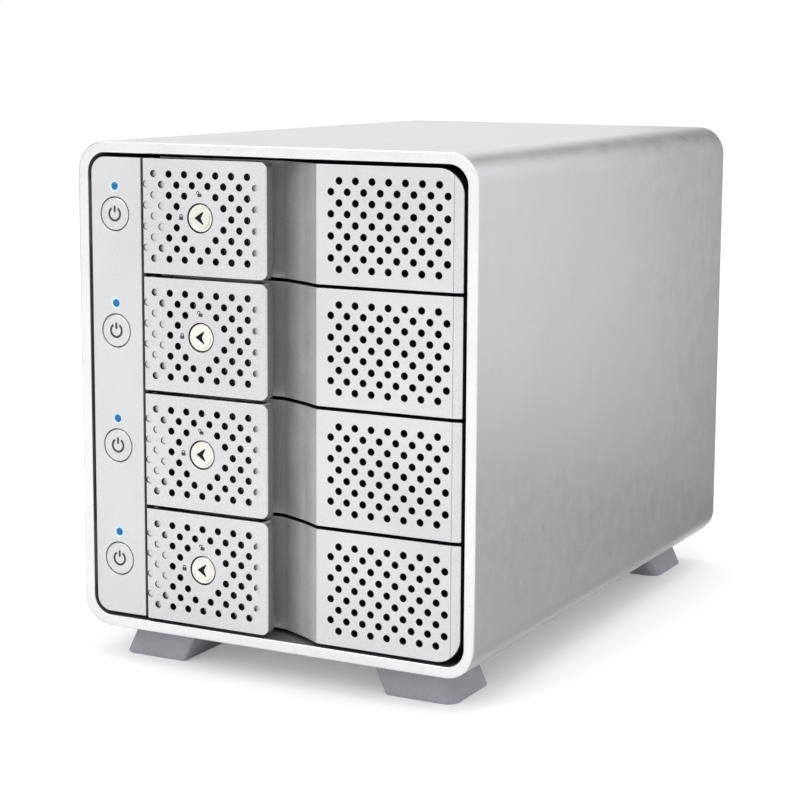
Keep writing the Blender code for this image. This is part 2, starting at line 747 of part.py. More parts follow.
def rotor_mesh():
    """The fan's hub and its pitched blades, about the axle."""
    hub_back = FAN_THICK - STRUT_DEPTH - 0.8 * mm
    hub = rod(0, 0, FAN_HUB, 28, "Y", 1.5 * mm, hub_back)
    tip, chord, thick = FAN_BORE - 1.4 * mm, 17 * mm, 1.4 * mm
    pitch = math.radians(38)
    middle = (1.5 * mm + hub_back) / 2
    corners = [(-chord / 2, -thick / 2), (chord / 2, -thick / 2)]
    corners += [(chord / 2, thick / 2), (-chord / 2, thick / 2)]
    blades = []
    for i in range(FAN_BLADES):
        turn = 2 * math.pi * i / FAN_BLADES
        rings = []
        for radius in (FAN_HUB - 1.5 * mm, tip):
            ring = []
            for a, b in corners:
                along = a * math.cos(pitch) - b * math.sin(pitch)
                deep = a * math.sin(pitch) + b * math.cos(pitch)
                x = radius * math.cos(turn) - along * math.sin(turn)
                z = radius * math.sin(turn) + along * math.cos(turn)
                ring.append((x, middle + deep, z))
            rings.append(ring)
        blades.append(loft(rings))
    axle_hole = rod(0, 0, AXLE_RADIUS + 0.15 * mm, 12, "Y", hub_back - AXLE_LENGTH, FAN_THICK)
    return carve(hub, add=blades, cut=[axle_hole])


def main():
    for obj in list(bpy.data.objects):
        bpy.data.objects.remove(obj)
    make_materials()
    build_sleeve()
    build_feet()
    build_controls()
    build_trays()
    build_guides()
    build_backplane()
    build_main_board()
    build_ports()
    build_rear_panel()
    build_rear_screws()
    build_fan()


main()
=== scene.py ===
"""The looks of a four-bay desktop storage enclosure: a blasted aluminium sleeve on four
leaning feet, silver tray fronts with staggered perforations, levers with key locks, a
control column with lit power buttons, and a rear panel with a fan and sockets."""

import json
import math

import bmesh
import bpy
from mathutils import Matrix, Vector


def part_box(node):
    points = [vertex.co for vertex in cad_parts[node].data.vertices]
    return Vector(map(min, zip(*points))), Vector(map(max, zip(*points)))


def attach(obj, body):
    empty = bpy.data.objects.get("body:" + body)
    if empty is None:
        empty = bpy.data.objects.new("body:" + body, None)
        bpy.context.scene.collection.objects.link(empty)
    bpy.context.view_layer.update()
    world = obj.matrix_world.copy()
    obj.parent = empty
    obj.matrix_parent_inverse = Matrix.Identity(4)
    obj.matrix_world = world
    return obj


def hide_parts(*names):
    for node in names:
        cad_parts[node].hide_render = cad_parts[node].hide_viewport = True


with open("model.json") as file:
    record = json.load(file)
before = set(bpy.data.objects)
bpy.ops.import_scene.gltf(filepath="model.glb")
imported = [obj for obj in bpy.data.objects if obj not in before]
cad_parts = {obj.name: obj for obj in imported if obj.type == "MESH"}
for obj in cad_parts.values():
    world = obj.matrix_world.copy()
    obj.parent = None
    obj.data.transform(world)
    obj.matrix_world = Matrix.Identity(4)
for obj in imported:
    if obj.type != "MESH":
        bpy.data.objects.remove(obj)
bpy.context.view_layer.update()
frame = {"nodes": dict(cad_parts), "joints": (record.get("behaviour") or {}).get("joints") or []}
cad = frame["nodes"]
joints = {joint["name"]: joint for joint in frame["joints"]}

MM = 0.001
BAYS = (1, 2, 3, 4)  # the first is the top one
REAR_SCREWS = (1, 2, 3, 4)
OVER = 0.02 * MM  # keeps a cutter's faces off the faces that it cuts

# The sleeve
sleeve_low, sleeve_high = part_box("outer_shell")
LEFT, RIGHT = sleeve_low.x, sleeve_high.x
FRONT, REAR = sleeve_low.y, sleeve_high.y
BASE, TOP = sleeve_low.z, sleeve_high.z
MIDDLE = Vector(((LEFT + RIGHT) / 2, (FRONT + REAR) / 2, (BASE + TOP) / 2))
WALL = 3.5 * MM
CORNER = 9.5 * MM
INNER_CORNER = CORNER - WALL

# The tray fronts
lever_low, lever_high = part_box("tray_lever_1")
fascia_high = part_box("tray_fascia_1")[1]
LEVER_FRONT = lever_low.y
LEVER_FACE = LEVER_FRONT + 0.05 * MM  # leaves room for the printed marks
TRAY_HALF = (lever_high.z - lever_low.z) / 2 - 0.1 * MM
GROOVE_RIGHT = LEFT + 84.1 * MM
FASCIA_RIGHT = fascia_high.x - 0.35 * MM
SKIN = 2.4 * MM  # thickness of a tray front's plate
GROOVE_DEPTH = 8.7 * MM
FASCIA_DEPTH = fascia_high.y - FRONT
FASCIA_CORNER = 7.5 * MM  # where an outer tray follows the sleeve
BARELY_ROUND = 0.01 * MM
SCORE_INSET, SCORE_HALF, SCORE_DEPTH = 2.75 * MM, 0.22 * MM, 0.4 * MM
BEYOND = 20 * MM  # how far a cutter reaches past the front
HINGE = Vector(joints["lever_1_hinge"]["pos_m"])
LOCK_X = joints["lock_1_turn"]["pos_m"][0]
LOCK_RADIUS = 4.35 * MM
BAY_Z = {bay: joints[f"lever_{bay}_hinge"]["pos_m"][2] for bay in BAYS}
BAY_PITCH = BAY_Z[1] - BAY_Z[2]

# Perforations
HOLE_RADIUS = 1.12 * MM
HOLE_CHAMFER = 0.1 * MM
COLUMN_PITCH = 5.5 * MM
ROW_PITCH = 3.2 * MM
ROWS = 9
COLUMNS = 8
LAST_COLUMN = COLUMNS - 0.9  # in pitches: the staggered rows stop before this
FASCIA_FIRST_HOLE = LEFT + 88.8 * MM
FASCIA_COLUMN_PITCH = 5.37 * MM
BLIND_DEPTH = 1.1 * MM
SHALLOW_DEPTH = 0.5 * MM


# ---------------------------------------------------------------- finishes


def link(tree, start, end):
    tree.links.new(start, end)


def feed(tree, value, socket):
    """Links a socket to the value, or sets it where the value is a plain one."""
    if isinstance(value, bpy.types.NodeSocket):
        link(tree, value, socket)
    else:
        socket.default_value = value


def add(tree, kind, settings=None, **inputs):
    """A node with some of its sockets set or linked, and some of its properties set."""
    made = tree.nodes.new(kind)
    for name, value in (settings or {}).items():
        setattr(made, name, value)
    for name, value in inputs.items():
        feed(tree, value, made.inputs[name.replace("_", " ")])
    return made


def math_node(tree, operation, a, b=0.0):
    made = tree.nodes.new("ShaderNodeMath")
    made.operation = operation
    for socket, value in zip(made.inputs, (a, b)):
        feed(tree, value, socket)
    return made.outputs["Value"]


def new_finish(name, colour, metallic, roughness):
    made = bpy.data.materials.new(name)
    made.use_nodes = True
    shader = made.node_tree.nodes["Principled BSDF"]
    shader.inputs["Base Color"].default_value = (*colour, 1)
    shader.inputs["Metallic"].default_value = metallic
    shader.inputs["Roughness"].default_value = roughness
    made.diffuse_color = (*colour, 1)
    return made, made.node_tree, shader


def place_pattern(tree, scale=(1, 1, 1), turn=(0, 0, 0)):
    coordinate = tree.nodes.new("ShaderNodeTexCoord")
    mapping = add(tree, "ShaderNodeMapping", Scale=scale, Rotation=turn)
    link(tree, coordinate.outputs["Object"], mapping.inputs["Vector"])
    return mapping.outputs["Vector"]


def noise(tree, vector, scale, detail=2.0, roughness=0.5):
    made = add(
        tree, "ShaderNodeTexNoise", Vector=vector, Scale=scale, Detail=detail, Roughness=roughness
    )
    return made.outputs["Fac"]


def spread(tree, value, low, high, out_low, out_high):
    """A value that runs from out_low to out_high as the given one runs from low to high."""
    made = tree.nodes.new("ShaderNodeMapRange")
    link(tree, value, made.inputs["Value"])
    for name, number in (
        ("From Min", low), ("From Max", high), ("To Min", out_low), ("To Max", out_high)
    ):
        made.inputs[name].default_value = number
    return made.outputs["Result"]


def blend_colours(tree, amount, first, second):
    made = tree.nodes.new("ShaderNodeMix")
    made.data_type = "RGBA"
    link(tree, amount, made.inputs[0])
    for socket, value in ((made.inputs[6], first), (made.inputs[7], second)):
        if isinstance(value, bpy.types.NodeSocket):
            link(tree, value, socket)
        else:
            socket.default_value = (*value, 1)
    return made.outputs[2]


def raise_bump(tree, shader, height, strength, distance):
    made = add(tree, "ShaderNodeBump", Height=height, Strength=strength, Distance=distance)
    link(tree, made.outputs["Normal"], shader.inputs["Normal"])


def edge_wear(tree, radius, low=0.02, high=0.25):
    """One on the edges that hands rub, nought on flat ground."""
    rounded = tree.nodes.new("ShaderNodeBevel")
    rounded.samples = 4
    rounded.inputs["Radius"].default_value = radius
    true = tree.nodes.new("ShaderNodeNewGeometry")
    product = tree.nodes.new("ShaderNodeVectorMath")
    product.operation = "DOT_PRODUCT"
    link(tree, rounded.outputs["Normal"], product.inputs[0])
    link(tree, true.outputs["Normal"], product.inputs[1])
    bend = math_node(tree, "SUBTRACT", 1.0, product.outputs["Value"])
    return spread(tree, bend, low, high, 0.0, 1.0)


def blasted_metal(name, dark, light, roughness, grain, bump, metallic=1.0, wear=None):
    """Bead-blasted and anodised: a fine even sparkle over slow cloudy changes of tone."""
    made, tree, shader = new_finish(name, light, metallic, roughness)
    place = place_pattern(tree)
    sparkle = noise(tree, place, grain, 2.0, 0.6)
    cloud = noise(tree, place, 22.0, 3.0, 0.55)
    fine = spread(tree, sparkle, 0.25, 0.75, 0.0, 0.75)
    tone = math_node(tree, "ADD", fine, spread(tree, cloud, 0.3, 0.7, 0.0, 0.25))
    colour = blend_colours(tree, tone, dark, light)
    if wear:
        brighter = tuple(min(1.0, c * 1.12) for c in light)
        colour = blend_colours(tree, edge_wear(tree, wear), colour, brighter)
    link(tree, colour, shader.inputs["Base Color"])
    coarse = noise(tree, place, 160.0, 3.0, 0.6)
    smear = math_node(tree, "ADD", coarse, math_node(tree, "MULTIPLY", sparkle, 0.5))
    rough = spread(tree, smear, 0.5, 1.0, roughness - 0.05, roughness + 0.06)
    link(tree, rough, shader.inputs["Roughness"])
    raise_bump(tree, shader, sparkle, bump, 0.03 * MM)
    return made


def machined_metal(name, dark, light, roughness, stretch):
    """Bright metal with fine tool lines along the direction that isn't stretched."""
    made, tree, shader = new_finish(name, light, 1.0, roughness)
    lines = noise(tree, place_pattern(tree, stretch), 900.0, 3.0, 0.6)
    cloud = noise(tree, place_pattern(tree), 60.0, 2.0)
    tone = math_node(tree, "ADD", math_node(tree, "MULTIPLY", lines, 0.6), cloud)
    colour = blend_colours(tree, spread(tree, tone, 0.5, 1.1, 0.0, 1.0), dark, light)
    link(tree, colour, shader.inputs["Base Color"])
    rough = spread(tree, lines, 0.3, 0.7, roughness - 0.06, roughness + 0.08)
    link(tree, rough, shader.inputs["Roughness"])
    raise_bump(tree, shader, lines, 0.02, 0.01 * MM)
    return made


def zinc_sheet(name):
    """Zinc-plated steel: soft crystals of tone with rolling lines."""
    made, tree, shader = new_finish(name, (0.62, 0.63, 0.65), 1.0, 0.34)
    cells = add(tree, "ShaderNodeTexVoronoi", Vector=place_pattern(tree), Scale=190.0)
    rolling = noise(tree, place_pattern(tree, (1, 0.04, 1)), 1100.0, 2.0)
    tone = math_node(tree, "MULTIPLY", cells.outputs["Color"], 0.5)
    tone = math_node(tree, "ADD", tone, math_node(tree, "MULTIPLY", rolling, 0.6))
    colour = blend_colours(
        tree, spread(tree, tone, 0.1, 0.9, 0.0, 1.0), (0.5, 0.51, 0.53), (0.72, 0.73, 0.75)
    )
    link(tree, colour, shader.inputs["Base Color"])
    link(tree, spread(tree, tone, 0.2, 0.9, 0.26, 0.42), shader.inputs["Roughness"])
    raise_bump(tree, shader, rolling, 0.1, 0.02 * MM)
    return made


def moulded_plastic(name, dark, light, roughness, grain=1500.0, bump=0.2, wear=None):
    """Moulded plastic with a fine spark-eroded grain and slightly shiny rubbed edges."""
    made, tree, shader = new_finish(name, light, 0.0, roughness)
    place = place_pattern(tree)
    skin = noise(tree, place, grain, 3.0, 0.6)
    cloud = noise(tree, place, 35.0, 2.0)
    tone = math_node(tree, "ADD", math_node(tree, "MULTIPLY", skin, 0.5), cloud)
    colour = blend_colours(tree, spread(tree, tone, 0.5, 1.0, 0.0, 1.0), dark, light)
    if wear:
        rubbed = tuple(min(1.0, c * 1.25 + 0.01) for c in light)
        colour = blend_colours(tree, edge_wear(tree, wear), colour, rubbed)
    link(tree, colour, shader.inputs["Base Color"])
    rough = spread(tree, cloud, 0.3, 0.7, roughness - 0.06, roughness + 0.08)
    link(tree, rough, shader.inputs["Roughness"])
    raise_bump(tree, shader, skin, bump, 0.05 * MM)
    return made


def solder_mask(name):
    """Circuit board: green mask over a faint grid of copper tracks."""
    made, tree, shader = new_finish(name, (0.02, 0.16, 0.08), 0.0, 0.32)
    place = place_pattern(tree, (1, 1, 1), (0.2, 0.1, 0.0))
    bricks = add(
        tree, "ShaderNodeTexBrick", {"offset": 0.37}, Vector=place_pattern(tree), Scale=150.0,
        Mortar_Size=0.03, Color1=(0, 0, 0, 1), Color2=(0.25, 0.25, 0.25, 1), Mortar=(1, 1, 1, 1),
    )
    cloud = noise(tree, place, 90.0, 3.0)
    amount = math_node(tree, "MULTIPLY", bricks.outputs["Color"], cloud)
    colour = blend_colours(tree, amount, (0.012, 0.12, 0.055), (0.05, 0.28, 0.12))
    link(tree, colour, shader.inputs["Base Color"])
    link(tree, spread(tree, cloud, 0.3, 0.7, 0.25, 0.4), shader.inputs["Roughness"])
    raise_bump(tree, shader, bricks.outputs["Color"], 0.15, 0.03 * MM)
    return made


def lit_lens(name, core, edge, strength):
    """A glowing lens whose glow varies in a fine cloudy pattern: the light pipes' lamps, and the
    painted glow of the rings round them.
    """
    made, tree, shader = new_finish(name, edge, 0.0, 0.25)
    cloud = noise(tree, place_pattern(tree), 900.0, 2.0)
    colour = blend_colours(tree, spread(tree, cloud, 0.3, 0.7, 0.0, 1.0), core, edge)
    link(tree, colour, shader.inputs["Base Color"])
    link(tree, colour, shader.inputs["Emission Color"])
    shader.inputs["Emission Strength"].default_value = strength
    shader.inputs["Coat Weight"].default_value = 0.1
    raise_bump(tree, shader, cloud, 0.05, 0.02 * MM)
    return made


SLEEVE_METAL = blasted_metal(
    "blasted_aluminium", (0.70, 0.70, 0.73), (0.84, 0.84, 0.87), 0.36, 2600.0, 0.35, 1.0, 0.5 * MM
)
RIM_METAL = machined_metal("machined_rim", (0.90, 0.90, 0.91), (0.96, 0.96, 0.97), 0.32, (1, 1, 1))
# Painted shade: the sleeve's inside is darkened so the gaps round the trays read as deep shade.
SLEEVE_INSIDE_SHADE = blasted_metal(
    "dark_sleeve_inside", (0.15, 0.15, 0.15), (0.23, 0.23, 0.23), 0.45, 2600.0, 0.3, 0.5
)
FRONT_SILVER = blasted_metal(
    "silver_front", (0.60, 0.60, 0.62), (0.88, 0.88, 0.90), 0.36, 3200.0, 0.3, 0.7, 0.35 * MM
)
# Black moulding behind the silver faces; its near-black also stands in for the shade in holes, gaps
# and keyways: painted shade.
BLACK_SHADE_MOULDING = moulded_plastic(
    "black_inner_moulding", (0.004, 0.004, 0.004), (0.010, 0.010, 0.011), 0.7
)
BLACK_PLASTIC = moulded_plastic(
    "black_plastic", (0.012, 0.012, 0.013), (0.028, 0.028, 0.030), 0.45, 1400.0, 0.2, 0.4 * MM
)
FOOT_PLASTIC = moulded_plastic(
    "grey_foot_plastic", (0.30, 0.30, 0.34), (0.38, 0.38, 0.42), 0.5, 1200.0, 0.25, 0.6 * MM
)
# Grey on the lever's right-hand side: painted shade for the dark gap between the lever and the
# groove.
LEVER_SIDE_SHADE = moulded_plastic(
    "grey_lever_moulding", (0.11, 0.11, 0.115), (0.16, 0.16, 0.165), 0.35, 1500.0, 0.15
)
# Black-coated carrier steel, made this dark so the holes in the fronts show black behind: partly a
# coating, partly painted shade.
SHADE_BLACK_STEEL = moulded_plastic(
    "black_coated_steel", (0.006, 0.006, 0.006), (0.014, 0.014, 0.015), 0.5, 1100.0, 0.35
)
ZINC = zinc_sheet("zinc_sheet")
BOARD_GREEN = solder_mask("solder_mask")
LOCK_NICKEL = machined_metal("lock_nickel", (0.86, 0.84, 0.77), (0.95, 0.93, 0.87), 0.22, (1, 1, 1))
SCREW_STEEL = machined_metal("screw_steel", (0.4, 0.4, 0.42), (0.6, 0.6, 0.62), 0.3, (1, 0.1, 1))
MARK_INK = moulded_plastic("mark_ink", (0.03, 0.03, 0.035), (0.06, 0.06, 0.065), 0.5, 3000.0, 0.05)
BLUE_LENS = lit_lens("blue_light", (0.002, 0.06, 0.16), (0.008, 0.12, 0.27), 0.5)
# Round each light a glowing ring: painted glow that stands in for the lamp's light spilling onto the
# panel.
GLOW_SPILL_RING = lit_lens("pale_light_ring", (0.45, 0.72, 0.95), (0.6, 0.82, 1.0), 0.35)


# ---------------------------------------------------------------- shapes


def mesh_from(bm, name):
    mesh = bpy.data.meshes.new(name)
    bm.to_mesh(mesh)
    bm.free()
    return mesh


def loft(rings, closed=False, name="shape"):
    """A mesh through rings of points: capped at both ends, or closed on itself."""
    bm = bmesh.new()
    loops = [[bm.verts.new(point) for point in ring] for ring in rings]
    pairs = list(zip(loops, loops[1:]))
    if closed:
        pairs.append((loops[-1], loops[0]))
    else:
        bm.faces.new(loops[0])
        bm.faces.new(loops[-1])
    for near, far in pairs:
        for i in range(len(near)):
            j = (i + 1) % len(near)
            bm.faces.new((near[i], near[j], far[j], far[i]))
    bmesh.ops.recalc_face_normals(bm, faces=bm.faces)
    return mesh_from(bm, name)


def prism(outline, axis, low, high):
    """The outline pushed along an axis: (y, z) for X, (x, z) for Y and (x, y) for Z."""
    put = {
        "X": lambda a, b, c: (c, a, b),
        "Y": lambda a, b, c: (a, c, b),
        "Z": lambda a, b, c: (a, b, c),
    }[axis]
    return loft([[put(a, b, c) for a, b in outline] for c in (low, high)])


def block(x0, x1, y0, y1, z0, z1):
    return prism([(x0, y0), (x1, y0), (x1, y1), (x0, y1)], "Z", z0, z1)


def arc(cx, cy, radius, start, end, steps):
    angles = [math.radians(start + (end - start) * i / steps) for i in range(steps + 1)]
    return [(cx + radius * math.cos(a), cy + radius * math.sin(a)) for a in angles]


def circle(cx, cy, radius, sides):
    return arc(cx, cy, radius, 0, 360 - 360 / sides, sides - 1)


def rounded_rectangle(x0, x1, y0, y1, radii, steps=10):
    """radii: lower left, lower right, upper right, upper left."""
    points = []
    for (x, y, start), r in zip(((x0, y0, 180), (x1, y0, 270), (x1, y1, 0), (x0, y1, 90)), radii):
        cx = x + r if x == x0 else x - r
        cy = y + r if y == y0 else y - r
        points += arc(cx, cy, r, start, start + 90, steps)
    return points


def turned(profile, x, z, sides, name="turned"):
    """A solid turned about a line along Y through (x, z). The profile holds (radius, y)."""
    rings = []
    for radius, y in profile:
        rings.append([(a, y, b) for a, b in circle(x, z, radius, sides)])
    return loft(rings, name=name)


def joined(meshes, name="joined"):
    bm = bmesh.new()
    for mesh in meshes:
        bm.from_mesh(mesh)
    return mesh_from(bm, name)


def evaluated(obj):
    """The object's mesh with its modifiers applied. The object is used up."""
    graph = bpy.context.evaluated_depsgraph_get()
    mesh = bpy.data.meshes.new_from_object(obj.evaluated_get(graph), depsgraph=graph)
    bpy.data.objects.remove(obj)
    return mesh


def loose_object(mesh, name="work"):
    obj = bpy.data.objects.new(name, mesh)
    bpy.context.scene.collection.objects.link(obj)
    return obj


def carve(base, add_meshes=(), cut_meshes=(), keep=None):
    """The base joined with some meshes, cut by others, and kept only inside another."""
    work = loose_object(base)
    tools = []
    steps = [("UNION", m) for m in add_meshes] + [("DIFFERENCE", m) for m in cut_meshes]
    if keep:
        steps.append(("INTERSECT", keep))
    for operation, mesh in steps:
        tool = loose_object(mesh, "tool")
        tools.append(tool)
        boolean = work.modifiers.new(operation, "BOOLEAN")
        boolean.operation = operation
        boolean.solver = "EXACT"
        boolean.object = tool
    mesh = evaluated(work)
    for tool in tools:
        bpy.data.objects.remove(tool)
    return mesh


def eased(mesh, width, segments=2, angle=35):
    """The mesh with its sharp edges rounded over."""
    work = loose_object(mesh)
    bevel = work.modifiers.new("edges", "BEVEL")
    bevel.width = width
    bevel.segments = segments
    bevel.limit_method = "ANGLE"
    bevel.angle_limit = math.radians(angle)
    bevel.use_clamp_overlap = True
    return evaluated(work)


def show(name, mesh, finishes, body, stands_for=(), angle=40):
    """Puts a finished mesh in the scene as a piece that rides on a body."""
    for finish in finishes if isinstance(finishes, (list, tuple)) else [finishes]:
        if mesh.materials.find(finish.name) < 0:
            mesh.materials.append(finish)
    mesh.shade_smooth()
    mesh.set_sharp_from_angle(angle=math.radians(angle))
    work = loose_object(mesh)
    normals = work.modifiers.new("normals", "WEIGHTED_NORMAL")
    normals.keep_sharp = True
    normals.weight = 100
    obj = loose_object(evaluated(work), name)
    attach(obj, body)
    if stands_for:
        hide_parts(*([stands_for] if isinstance(stands_for, str) else stands_for))
    return obj


def refined(node, finish, body, width=0.25 * MM, segments=2):
    """A CAD node's own shape with its edges eased and its flats made whole."""
    bm = bmesh.new()
    bm.from_mesh(cad[node].data)
    bmesh.ops.remove_doubles(bm, verts=bm.verts, dist=0.002 * MM)
    bmesh.ops.dissolve_limit(
        bm, angle_limit=math.radians(0.5), verts=bm.verts, edges=bm.edges
    )
    mesh = eased(mesh_from(bm, node), width, segments)
    mesh.materials.clear()
    return show(f"{node}_finished", mesh, finish, body, node)


# ---------------------------------------------------------------- geometry node trees


def tree_with(name, sockets):
    tree = bpy.data.node_groups.new(name, "GeometryNodeTree")
    tree.interface.new_socket("Geometry", in_out="INPUT", socket_type="NodeSocketGeometry")
    for label, kind in sockets:
        tree.interface.new_socket(label, in_out="INPUT", socket_type=f"NodeSocket{kind}")
    tree.interface.new_socket("Geometry", in_out="OUTPUT", socket_type="NodeSocketGeometry")
    return tree, tree.nodes.new("NodeGroupInput").outputs, tree.nodes.new("NodeGroupOutput").inputs


def vector(tree, x=0.0, y=0.0, z=0.0):
    made = tree.nodes.new("ShaderNodeCombineXYZ")
    for socket, value in zip(made.inputs, (x, y, z)):
        feed(tree, value, socket)
    return made.outputs["Vector"]


def finish_tree(tree, geometry, given, out):
    """Every tree ends in Realize Instances and Set Material."""
    real = add(tree, "GeometryNodeRealizeInstances", Geometry=geometry)
    surfaced = add(
        tree, "GeometryNodeSetMaterial", Geometry=real.outputs[0], Material=given["Material"]
    )
    link(tree, surfaced.outputs[0], out["Geometry"])


def perforation_tree():
    """Cuts staggered rows of chamfered round holes into a plate that faces -Y."""
    tree, given, out = tree_with(
        "perforation",
        [
            ("First X", "Float"), ("Columns", "Int"), ("Column Pitch", "Float"),
            ("Middle Z", "Float"), ("Rows", "Int"), ("Row Pitch", "Float"),
            ("Stagger", "Float"), ("Front Y", "Float"), ("Depth", "Float"),
            ("Hole Radius", "Float"), ("Chamfer", "Float"), ("Sides", "Int"),
            ("From X", "Float"), ("To X", "Float"),
            ("Clear X", "Float"), ("Clear Radius", "Float"), ("Keep Inside", "Float"),
            ("Material", "Material"),
        ],
    )
    pitch, row_pitch = given["Column Pitch"], given["Row Pitch"]
    width = math_node(tree, "MULTIPLY", math_node(tree, "SUBTRACT", given["Columns"], 1), pitch)
    height = math_node(tree, "MULTIPLY", math_node(tree, "SUBTRACT", given["Rows"], 1), row_pitch)
    grid = add(
        tree, "GeometryNodeMeshGrid", Size_X=width, Size_Y=height,
        Vertices_X=given["Columns"], Vertices_Y=given["Rows"],
    )
    half_width = math_node(tree, "MULTIPLY", width, 0.5)
    half_height = math_node(tree, "MULTIPLY", height, 0.5)
    place = tree.nodes.new("ShaderNodeSeparateXYZ")
    link(tree, tree.nodes.new("GeometryNodeInputPosition").outputs[0], place.inputs[0])
    from_low = math_node(tree, "ADD", place.outputs["Y"], half_height)
    row = math_node(tree, "ROUND", math_node(tree, "DIVIDE", from_low, row_pitch))
    even = math_node(tree, "SUBTRACT", 1.0, math_node(tree, "MODULO", row, 2.0))
    shift = math_node(tree, "MULTIPLY", math_node(tree, "MULTIPLY", even, pitch), given["Stagger"])
    x = math_node(tree, "ADD", math_node(tree, "ADD", place.outputs["X"], half_width), shift)
    x = math_node(tree, "ADD", x, given["First X"])
    z = math_node(tree, "ADD", place.outputs["Y"], given["Middle Z"])
    spots = add(
        tree, "GeometryNodeSetPosition", Geometry=grid.outputs["Mesh"],
        Position=vector(tree, x, given["Front Y"], z),
    )
    # Drop what lies outside the range or in the clear circle.
    there = tree.nodes.new("ShaderNodeSeparateXYZ")
    link(tree, tree.nodes.new("GeometryNodeInputPosition").outputs[0], there.inputs[0])
    before = math_node(tree, "LESS_THAN", there.outputs["X"], given["From X"])
    beyond = math_node(tree, "GREATER_THAN", there.outputs["X"], given["To X"])
    across = math_node(tree, "SUBTRACT", there.outputs["X"], given["Clear X"])
    above = math_node(tree, "SUBTRACT", there.outputs["Z"], given["Middle Z"])
    squares = math_node(
        tree, "ADD", math_node(tree, "MULTIPLY", across, across),
        math_node(tree, "MULTIPLY", above, above),
    )
    near = math_node(
        tree, "LESS_THAN", math_node(tree, "SQRT", squares), given["Clear Radius"]
    )
    # Keep Inside at one keeps only what is in the circle, at nought only what is out of it.
    near = math_node(tree, "ABSOLUTE", math_node(tree, "SUBTRACT", near, given["Keep Inside"]))
    drop = math_node(tree, "ADD", math_node(tree, "ADD", before, beyond), near)
    kept = add(
        tree, "GeometryNodeDeleteGeometry", {"domain": "POINT"}, Geometry=spots.outputs[0],
        Selection=math_node(tree, "GREATER_THAN", drop, 0.5),
    )
    # One cutter: a straight drill and the cone that breaks the hole's edge.
    lead = 0.3 * MM
    radius, chamfer, depth = given["Hole Radius"], given["Chamfer"], given["Depth"]
    drill = add(
        tree, "GeometryNodeMeshCylinder", Vertices=given["Sides"], Radius=radius, Depth=depth
    )
    drill = add(
        tree, "GeometryNodeTransform", Geometry=drill.outputs["Mesh"],
        Translation=vector(tree, z=math_node(tree, "MULTIPLY", depth, 0.5)),
    )
    wide = math_node(tree, "ADD", math_node(tree, "ADD", radius, chamfer), lead)
    past = 0.04 * MM
    cone = add(
        tree, "GeometryNodeMeshCone", Vertices=given["Sides"],
        Radius_Top=math_node(tree, "SUBTRACT", radius, past), Radius_Bottom=wide,
        Depth=math_node(tree, "ADD", chamfer, lead + past),
    )
    cone = add(
        tree, "GeometryNodeTransform", Geometry=cone.outputs["Mesh"],
        Translation=(0, 0, -lead),
    )
    cutter = add(tree, "GeometryNodeMeshBoolean", {"operation": "UNION", "solver": "EXACT"})
    link(tree, drill.outputs[0], cutter.inputs["Mesh 2"])
    link(tree, cone.outputs[0], cutter.inputs["Mesh 2"])
    cutter = add(
        tree, "GeometryNodeTransform", Geometry=cutter.outputs["Mesh"],
        Rotation=(-math.pi / 2, 0, 0),
    )
    placed = add(
        tree, "GeometryNodeInstanceOnPoints", Points=kept.outputs[0], Instance=cutter.outputs[0]
    )
    drills = add(tree, "GeometryNodeRealizeInstances", Geometry=placed.outputs[0])
    plate = add(tree, "GeometryNodeMeshBoolean", {"operation": "DIFFERENCE", "solver": "EXACT"})
    link(tree, given["Geometry"], plate.inputs["Mesh 1"])
    link(tree, drills.outputs[0], plate.inputs["Mesh 2"])
    finish_tree(tree, plate.outputs["Mesh"], given, out)
    return tree


PERFORATION = perforation_tree()


def through_tree(mesh, tree, values):
    """The mesh that a tree makes of this one, with its inputs set by their identifiers."""
    work = loose_object(mesh)
    modifier = work.modifiers.new("tree", "NODES")
    modifier.node_group = tree
    identifiers = {
        item.name: item.identifier
        for item in tree.interface.items_tree
        if item.item_type == "SOCKET" and item.in_out == "INPUT"
    }
    for name, value in values.items():
        modifier[identifiers[name]] = value
    return evaluated(work)


def perforated(mesh, material, first_x, middle_z, **more):
    values = {
        "First X": first_x, "Columns": COLUMNS, "Column Pitch": COLUMN_PITCH,
        "Middle Z": middle_z, "Rows": ROWS, "Row Pitch": ROW_PITCH, "Stagger": 0.5,
        "Front Y": FRONT, "Depth": 6 * MM, "Hole Radius": HOLE_RADIUS,
        "Chamfer": HOLE_CHAMFER, "Sides": 20, "From X": -1.0,
        "To X": first_x + LAST_COLUMN * COLUMN_PITCH,
        "Clear X": 0.0, "Clear Radius": 0.0, "Keep Inside": 0.0, "Material": material,
    }
    values.update(more)
    return through_tree(mesh, PERFORATION, values)


# ---------------------------------------------------------------- sleeve and feet


